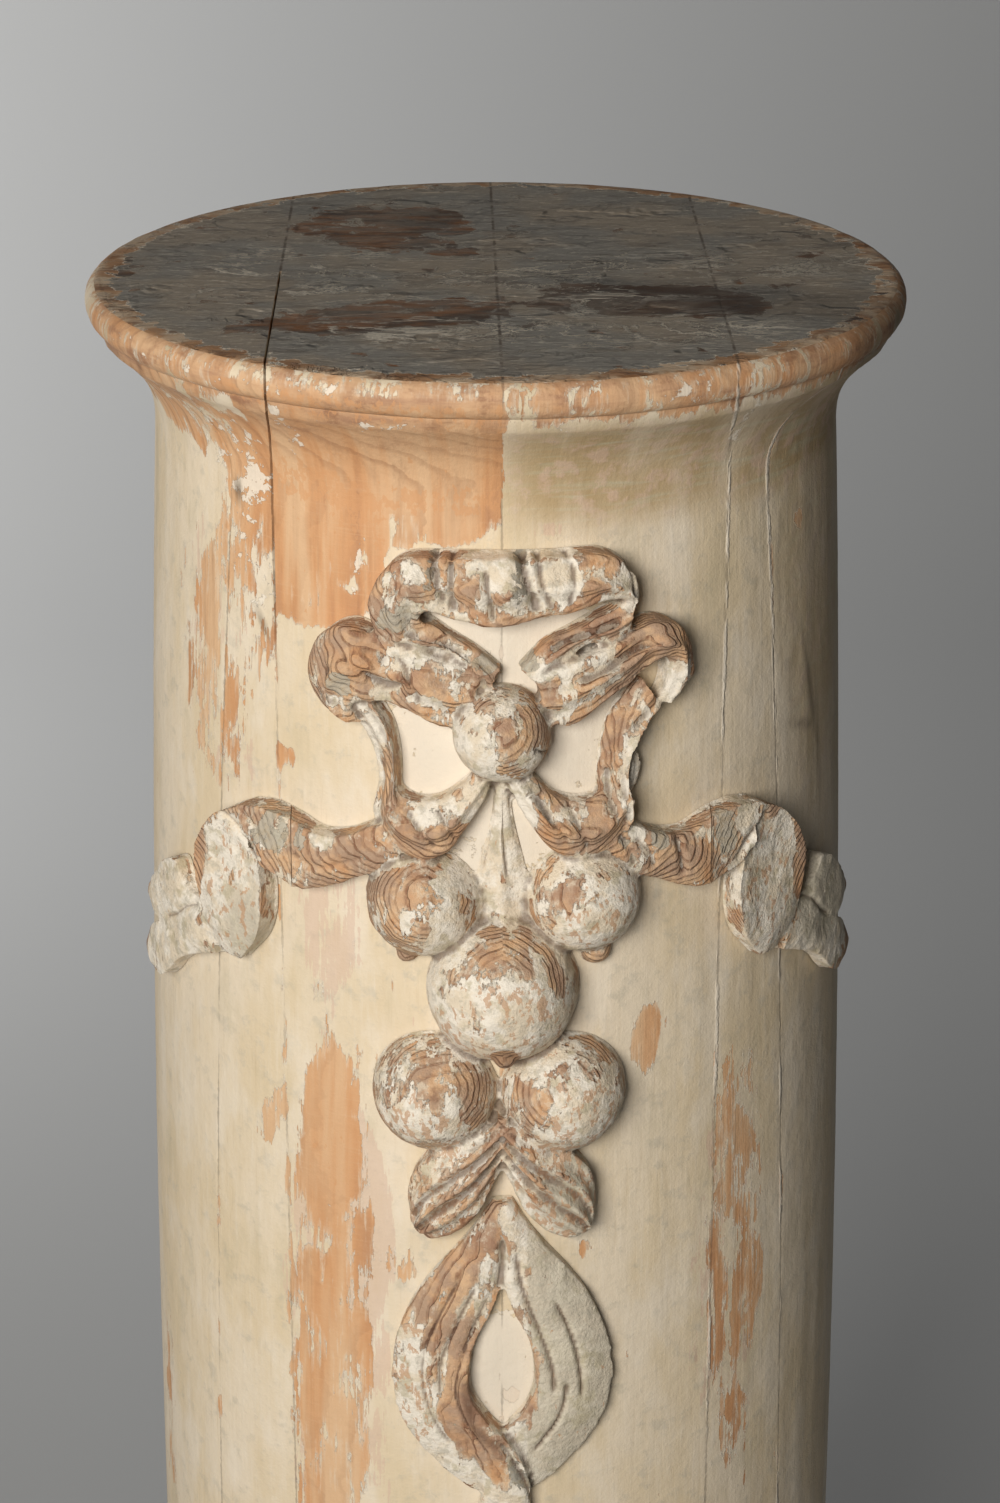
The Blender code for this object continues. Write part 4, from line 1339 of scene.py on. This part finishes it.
@dataclass
class Carving:
    """One stretch of the planted carving: bow, fruit, leaves and ribbon tails, cut at the board joints."""

    bench: Workbench
    board: Board
    board_joint: float = 0.084
    planting_gap: float = 0.0003
    mesh_step: float = 0.00104
    skin_margin: float = 0.35
    easing: float = 0.35
    seat_steps: int = 180
    sharp_from: float = 50.0
    knob: Ball = Ball(0.0, 145.5, 19.7, 5.0)
    fruits: tuple[Ball, ...] = (
        Ball(-31.5, 219.0, 23.8, -2.0),
        Ball(33.0, 217.4, 23.8, -2.0),
        Ball(0.4, 256.2, 31.0, -2.0),
        Ball(-27.0, 302.0, 26.0, -2.0),
        Ball(24.6, 302.6, 26.2, -2.0),
    )
    buds: tuple[Ball, ...] = (
        Ball(0.6, 279.0, 5.0, 16.5, 4),
        Ball(-38.0, 241.5, 4.8, 1.5, 4),
        Ball(37.5, 240.5, 7.0, 0.5, 4),
    )
    beads: tuple[Ball, ...] = (Ball(0, 548, 15.0, 0), Ball(0, 570, 11.0, 0), Ball(0, 586, 7.5, 0))
    leaf_top: float = 308.0
    drop_start: float = 505.0
    drop_leaf_scale: float = 0.62
    bow: tuple[Band, ...] = (
        Band(((-37, 114), (-46, 108), (-51, 98), (-49, 86), (-39, 75), (-20, 73), (0, 73), (20, 73), (38, 73),
              (49, 79), (53, 90), (51, 100)),
             ((-28, 101), (-29, 100), (-29, 99), (-29, 97), (-27, 95), (-17, 98), (-2, 100), (14, 97),
              (26, 95), (36, 92), (46, 92), (47, 96)),
             ((9, 11, 9), (10, 13, 10), (11, 14, 11), (11, 15, 12), (12, 16, 13), (11, 13, 12), (12, 16, 14),
              (11, 14, 13), (12, 16, 14), (12, 16, 13), (10, 15, 11), (8, 12, 9)), rows=160),
        Band(((-40, 101), (-29, 100), (-20, 105), (-10, 111), (0, 119)),
             ((-42, 112), (-32, 113), (-22, 114), (-13, 121), (-6, 128)),
             ((10, 12, 10), (9, 12, 10), (7, 10, 8), (6, 9, 8), (7, 9, 8))),
        Band(((50, 92), (40, 97), (28, 103), (16, 109), (6, 119)),
             ((50, 104), (43, 109), (33, 110), (24, 117), (14, 126)),
             ((11, 13, 10), (10, 13, 10), (8, 11, 8), (7, 10, 8), (7, 9, 8))),
        Band(((-8, 120), (-22, 115), (-36, 111), (-47, 107), (-59, 103), (-70, 108), (-76, 118), (-77, 128),
              (-72, 138), (-63, 144)),
             ((-14, 142), (-24, 142), (-33, 137), (-43, 134), (-51, 133), (-55, 134), (-57, 136), (-57, 138),
              (-56, 141), (-54, 144)),
             ((10, 11, 10), (11, 13, 10), (12, 14, 11), (11, 12, 10), (13, 16, 12), (11, 16, 12), (9, 15, 12),
              (8, 14, 11), (8, 13, 10), (6, 10, 8)), rows=150),
        Band(((-61, 138), (-55, 150), (-51, 160), (-50, 170), (-52, 182), (-48, 194)),
             ((-51, 132), (-44, 142), (-41, 152), (-40, 162), (-40, 175), (-38, 192)),
             ((6, 9, 11), (2, 7, 12), (1, 6, 12), (1, 6, 12), (2, 7, 12), (4, 8, 10))),
        Band(((-42, 166), (-38, 172), (-31, 174), (-23, 172), (-14, 165), (-8, 158)),
             ((-46, 188), (-39, 196), (-29, 198), (-20, 194), (-13, 184), (-4, 168)),
             ((8, 12, 8), (8, 14, 9), (8, 15, 10), (8, 15, 10), (8, 13, 9), (8, 10, 8))),
        Band(((12, 122), (22, 118), (33, 113), (45, 109), (53, 104), (60, 102), (70, 106), (76, 117),
              (77, 128), (70, 138)),
             ((18, 142), (27, 142), (38, 134), (48, 127), (57, 120), (62, 118), (65, 120), (65, 124),
              (64, 130), (60, 137)),
             ((10, 11, 10), (11, 13, 10), (12, 14, 11), (12, 14, 11), (12, 14, 12), (13, 17, 12),
              (11, 16, 10), (9, 14, 9), (8, 12, 9), (6, 10, 8)), rows=150),
        Band(((55, 126), (44, 139), (40, 150), (38, 162), (38, 176), (40, 190)),
             ((62, 139), (53, 148), (48, 158), (48, 168), (50, 180), (47, 190)),
             ((8, 10, 10), (3, 9, 13), (2, 9, 14), (3, 10, 14), (6, 11, 14), (8, 10, 10))),
        Band(((50, 140), (46, 152), (46, 164), (45, 178)), ((59, 141), (53, 152), (55, 163), (50, 180)),
             ((6, 7, 6), (6, 6, 5), (6, 7, 6), (5, 6, 5))),
        Band(((6, 158), (13, 164), (20, 171), (30, 174), (39, 172), (45, 165)),
             ((2, 168), (10, 182), (18, 193), (28, 198), (39, 197), (49, 187)),
             ((8, 10, 8), (8, 13, 9), (8, 15, 10), (8, 15, 10), (8, 14, 9), (8, 12, 8))),
    )
    stem: Band = Band(((-3, 158), (-4, 180), (-9, 202), (-15, 228)),
                      ((3, 158), (4, 180), (9, 202), (15, 228)),
                      ((3, 6, 3), (2, 4, 2), (1, 4, 1), (1, 4, 1)), 2, 0.8)
    ribbon_root: Band = Band(
        ((38, 184), (50, 186), (61, 191), (73, 193), (85, 189), (97, 187), (109, 189)),
        ((39, 200), (51, 207), (65, 214), (79, 218), (90, 215), (97, 212), (104, 207)),
        ((8, 11, 9), (9, 12, 10), (11, 12, 9), (10, 13, 11), (10, 12, 11), (11, 12, 12), (11, 13, 12)),
        rows=130)
    ribbon_end: tuple[Band, ...] = (
        Band(((106, 188), (121, 196), (131, 208), (136, 221), (135, 234), (133, 247), (125, 260)),
             ((97, 197), (99, 204), (99, 212), (97, 223), (97, 235), (101, 247), (112, 260)),
             ((11, 12, 11), (12, 10, 11), (12, 9, 11), (11, 9, 11), (10, 10, 12), (8, 10, 10), (5, 7, 6)),
             rows=120, columns=50),
        Band(((128, 241), (144, 241), (150, 236), (155, 230), (165, 234), (178, 245), (189, 256)),
             ((126, 259), (140, 262), (150, 263), (158, 264), (168, 265), (178, 265), (187, 262)),
             ((5, 7, 6), (6, 8, 7), (7, 8, 7), (8, 8, 7), (8, 8, 7), (7, 8, 7), (6, 7, 6))),
        Band(((128, 250), (146, 256), (158, 262), (169, 265), (179, 269), (190, 278), (193, 284)),
             ((128, 264), (144, 270), (155, 277), (163, 285), (172, 291), (184, 291), (192, 288)),
             ((5, 7, 5), (6, 8, 6), (6, 8, 7), (7, 8, 7), (7, 8, 7), (6, 8, 7), (6, 7, 6))),
    )
    leaf: Band = Band(((-2, 308), (9, 317), (20, 323), (29, 329), (35, 338), (37, 350), (35, 361)),
                      ((-2, 330), (3, 341), (8, 352), (14, 360), (21, 365), (28, 367), (33, 365)),
                      ((12, 9, 7), (12, 13, 8), (11, 15, 9), (10, 15, 9), (9, 14, 9), (7, 12, 8), (5, 8, 5)),
                      4, 2.2, 90, 70)
    husk: Band = Band(((4, 350), (10, 361), (17, 371), (27, 384), (35, 397), (41, 412), (44, 427), (44, 441),
                       (40, 457), (31, 472), (19, 484), (8, 493)),
                      ((-1, 350), (-1, 366), (-1, 380), (1, 393), (5, 404), (10, 415), (12.5, 427),
                       (12.5, 438), (9, 448), (3, 456), (-2, 464), (-4, 474)),
                      ((3, 6, 5), (3, 7, 6), (4, 7, 6), (4, 8, 6), (5, 8, 6), (5, 8, 6), (5, 8, 7), (5, 8, 7),
                       (5, 8, 7), (4, 7, 6), (4, 6, 5), (3, 4, 3)), 0, 0.0, 150, 60)
    husk_edge: Band = Band(((-22, 420), (-23, 438), (-18, 455), (-11, 469), (-7, 484), (-10, 500),
                            (-10, 516)),
                           ((-12, 420), (-12.5, 438), (-6, 452), (3, 463), (9, 476), (12, 492), (10, 516)),
                           ((6, 8, 8), (7, 9, 10), (7, 10, 10), (7, 10, 10), (6, 9, 9), (5, 8, 8), (5, 7, 5)))
    ribbon_hollows: int = 2
    hollow_depth: float = 1.2
    gouges: tuple[GougeLine, ...] = ()
    places: tuple[WornPlace, ...] = ()

    def forms(self) -> BMesh:
        """Lays the drawn forms of this stretch on the shaft.

        Returns:
            A bmesh of closed forms that run into each other.
        """
        body = bmesh.new()
        if self.board is Board.CENTRE:
            for band in self.bow:
                replace(band, ribs=self.ribbon_hollows, rib_height=self.hollow_depth).add_to(body)
            for band in (self.stem, self.husk_edge):
                band.add_to(body)
            for ball in (self.knob, *self.fruits, *self.buds, *self.beads):
                ball.add_to(body)
            for side in (-1, 1):
                self.ribbon_root.add_to(body, side)
                self.leaf.add_to(body, side)
                self.husk.add_to(body, side)
                self.leaf.add_to(body, side, self.drop_leaf_scale,
                                 self.drop_start - self.leaf_top * self.drop_leaf_scale)
        else:
            side = -1 if self.board is Board.LEFT else 1
            self.ribbon_root.add_to(body, side)
            for band in self.ribbon_end:
                band.add_to(body, side)
        return body

    def seat(self) -> Piece:
        """The shaft's form, as the cutter for the carving's back."""
        body = bmesh.new()
        outline = [(radius + self.planting_gap, height) for radius, height in FORM.outline()[39::3]]
        outline = [(0.0, outline[0][1]), *outline, (0.0, outline[-1][1])]
        self.bench.spin(body, self.bench.profile(body, outline), 2 * math.pi, self.seat_steps, closed=True)
        bmesh.ops.remove_doubles(body, verts=body.verts, dist=MERGE)
        return self.bench.piece("seat", body)

    def joint_box(self) -> Piece:
        """A box that ends at the joints of this board."""
        margin = self.planting_gap / 2 * (-1 if self.board is Board.CENTRE else 1)
        body = bmesh.new()
        bmesh.ops.create_cube(body, size=1.0)
        bmesh.ops.scale(body, verts=body.verts, vec=(2 * (self.board_joint + margin), 0.6, 2.4))
        bmesh.ops.translate(body, verts=body.verts, vec=(0.0, 0.0, FORM.height / 2))
        return self.bench.piece("joint box", body)

    def cut(self, piece: Piece) -> None:
        """Lets the forms run into one skin and cuts it to the shaft and to the board joints."""
        flow = piece.modifiers.new("Flow together", "REMESH")
        flow.mode = "VOXEL"
        flow.voxel_size = self.mesh_step
        ease = piece.modifiers.new("Ease", "SMOOTH")
        ease.factor = self.easing
        ease.iterations = 1
        kind = "INTERSECT" if self.board is Board.CENTRE else "DIFFERENCE"
        cutters = [(self.seat(), "DIFFERENCE"), (self.joint_box(), kind)]
        for cutter, operation in cutters:
            cut = piece.modifiers.new("Cut", "BOOLEAN")
            cut.operation = operation
            cut.solver = "MANIFOLD"
            cut.object = cutter
        self.bench.settle(piece)
        for cutter, _ in cutters:
            bpy.data.objects.remove(cutter)

    def weather(self, piece: Piece) -> None:
        """Cuts the gouge lines, roughs the skin, and writes the wear layers."""
        mesh = piece.data
        places, ways = corners(mesh)
        across, drop, lift = FORM.unwrap(places)
        free = soft_step(lift, 0.6, 2.0)
        at_joint = 1 - soft_step(-np.abs(np.abs(places[:, 0]) - self.board_joint), -0.0012, -0.0004)
        free = free * at_joint
        sink = sum((line.sink(across, drop) for line in self.gouges), np.zeros(len(places)))
        facets = 0.30 - 0.75 * np.abs(unevenness(places, 0.011, 1))
        facets -= 0.40 * np.abs(unevenness(places, 0.005, 2))
        near = Neighbours(mesh)
        ridge = np.clip(-near.hollow(places, ways, 4) - 0.25, 0, 1)
        chips = ridge * np.clip(unevenness(places, 0.004, 4) + 0.1, 0, 1) * 1.6
        move = free * (facets - self.skin_margin - chips - sink)
        moved = places + ways * (move * MM)[:, None]
        mesh.vertices.foreach_set("co", moved.astype(np.float32).ravel())
        mesh.update()
        self.write_wear(piece, near)

    def write_wear(self, piece: Piece, near: Neighbours) -> None:
        """Writes how worn each part of the carving is, and the painted shade of its hollows.

        Args:
            piece: The carving.
            near: Its vertices' neighbours.
        """
        mesh = piece.data
        places, ways = corners(mesh)
        across, drop, lift = FORM.unwrap(places)
        hollow = near.hollow(places, ways, 6)
        wide_hollow = near.hollow(places, ways, 22)
        ground = 1 - soft_step(lift, 0.4, 2.2)
        bare = 0.30 + 0.30 * unevenness(places, 0.016, 7) - 1.3 * ground
        bare += 0.5 * soft_step(-wide_hollow, 0.3, 1.4) - 1.1 * soft_step(wide_hollow, 0.15, 1.2)
        layers = {
            "bare": bare,
            "grey": np.zeros(len(places)),
            # Painted shade: this layer darkens the carving's hollows, less so near the ground.
            "soot": 0.7 * soft_step(hollow, 0.14, 0.55) * (1 - 0.5 * ground),
            "ochre": np.zeros(len(places)),
            "patch": np.full(len(places), -1.0),
            "fleck": np.zeros(len(places)),
            "hollow": hollow,
        }
        added = {Wear.BARE: ("bare", 1), Wear.CREAM: ("bare", -1), Wear.STAIN: ("fleck", 1),
                 Wear.CHALK: ("patch", 1), Wear.OCHRE: ("patch", 1)}
        for place in self.places:
            reach = place.reach(across, drop)
            if place.wear in added:
                name, sign = added[place.wear]
                layers[name] += sign * reach
            if place.wear in (Wear.GREY, Wear.SOOT, Wear.OCHRE):
                name = place.wear.value
                layers[name] = np.maximum(layers[name], np.clip(reach, 0, 1))
        for name, values in layers.items():
            self.bench.note(piece, name, values)

    def build(self, finish: Material) -> Piece:
        """Builds this stretch of the carving.

        Args:
            finish: Its finish.

        Returns:
            The piece.
        """
        piece = self.bench.piece(self.board.value + "_skin", self.forms())
        self.cut(piece)
        self.weather(piece)
        piece.data.materials.clear()
        piece.data.materials.append(finish)
        self.bench.smooth(piece, self.sharp_from)
        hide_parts(self.board.value)
        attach(piece, "root")
        return piece


@dataclass(frozen=True)
class Studio:
    """The plain floor, the backdrop, the lights and the camera."""

    eye: Triple = (-0.02131, -1.38062, 1.4698)
    turn: float = 2.5 / 150
    tilt: float = 0.3887
    lens: float = 3402.3 / 1503 * 36
    floor_size: float = 12.0
    bend_start: float = 2.6
    bend_radius: float = 1.5
    floor_colour: Colour = (0.40, 0.40, 0.395)
    lamp_colour: Colour = (1.0, 0.985, 0.955)
    sky_colour: Colour = (0.5, 0.5, 0.5)
    sky_strength: float = 0.075

    def camera(self) -> None:
        """Sets up the camera at the photograph's view."""
        data = bpy.data.cameras.new("view")
        data.sensor_fit = "VERTICAL"
        data.sensor_height = 36
        data.lens = self.lens
        made = linked("view", data)
        made.location = self.eye
        ahead = Vector((math.sin(self.turn) * math.cos(self.tilt), math.cos(self.turn) * math.cos(self.tilt),
                        -math.sin(self.tilt)))
        made.rotation_euler = ahead.to_track_quat("-Z", "Y").to_euler()
        bpy.context.scene.camera = made

    def floor(self) -> None:
        """Lays a plain pale floor that turns up into a backdrop behind the column."""
        body = bmesh.new()
        made = bmesh.ops.create_grid(body, x_segments=2, y_segments=80, size=self.floor_size / 2)
        for vert in made["verts"]:
            past = vert.co.y - self.bend_start
            if past > 0:
                turn = min(past / self.bend_radius, math.pi / 2)
                vert.co.y = self.bend_start + self.bend_radius * math.sin(turn)
                above = max(past - self.bend_radius * math.pi / 2, 0)
                vert.co.z = self.bend_radius * (1 - math.cos(turn)) + above
        mesh = bpy.data.meshes.new("floor")
        body.to_mesh(mesh)
        body.free()
        mesh.shade_smooth()
        floor = linked("floor", mesh)
        made = bpy.data.materials.new("Plain floor")
        made.use_nodes = True
        shader = made.node_tree.nodes["Principled BSDF"]
        shader.inputs["Base Color"].default_value = (*self.floor_colour, 1.0)
        shader.inputs["Roughness"].default_value = 0.95
        mesh.materials.append(made)

    def light(self, name: str, place: Triple, target: Triple, size: float, energy: float,
              colour: Colour = (1.0, 1.0, 1.0)) -> None:
        """Hangs a soft square light."""
        data = bpy.data.lights.new(name, "AREA")
        data.size = size
        data.energy = energy
        data.color = colour
        made = linked(name, data)
        made.location = place
        made.rotation_euler = (Vector(target) - Vector(place)).to_track_quat("-Z", "Y").to_euler()

    def build(self) -> None:
        """Sets up the whole studio."""
        self.camera()
        self.floor()
        self.light("key", (-0.74, -2.04, 1.66), (0, 0, 0.85), 1.0, 52, self.lamp_colour)
        self.light("side", (-1.7, -0.5, 1.5), (0, 0, 0.9), 0.9, 4.0, self.lamp_colour)
        self.light("backdrop light", (-2.1, 1.7, 1.7), (-0.9, 4.0, 0.4), 0.8, 84)
        world = bpy.data.worlds.new("studio")
        bpy.context.scene.world = world
        world.use_nodes = True
        background = world.node_tree.nodes["Background"]
        background.inputs[0].default_value = (*self.sky_colour, 1.0)
        background.inputs[1].default_value = self.sky_strength
        bpy.context.scene.view_settings.view_transform = "Standard"


def main() -> None:
    """Builds the dressed column over its frame."""
    logging.basicConfig(level=logging.INFO, format="%(message)s")
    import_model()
    bench = Workbench()
    Studio().build()
    effects = SharedEffects()
    block = TurnedBlock(bench).build(ShaftFinish(effects).material(), TopFinish(effects).material())
    LOG.info("%s: %d faces", block.name, len(block.data.polygons))
    finish = CarvingFinish(effects).material()
    centre, ribbon = CentreMarks(), RibbonMarks()
    carvings = (
        Carving(bench, Board.CENTRE, gouges=centre.gouges, places=centre.places),
        Carving(bench, Board.LEFT, mesh_step=0.0006, gouges=ribbon.left_gouges, places=ribbon.left_places),
        Carving(bench, Board.RIGHT, mesh_step=0.0006, gouges=ribbon.gouges, places=ribbon.places),
    )
    for carving in carvings:
        piece = carving.build(finish)
        LOG.info("%s: %d faces", piece.name, len(piece.data.polygons))


if __name__ == "__main__":
    main()
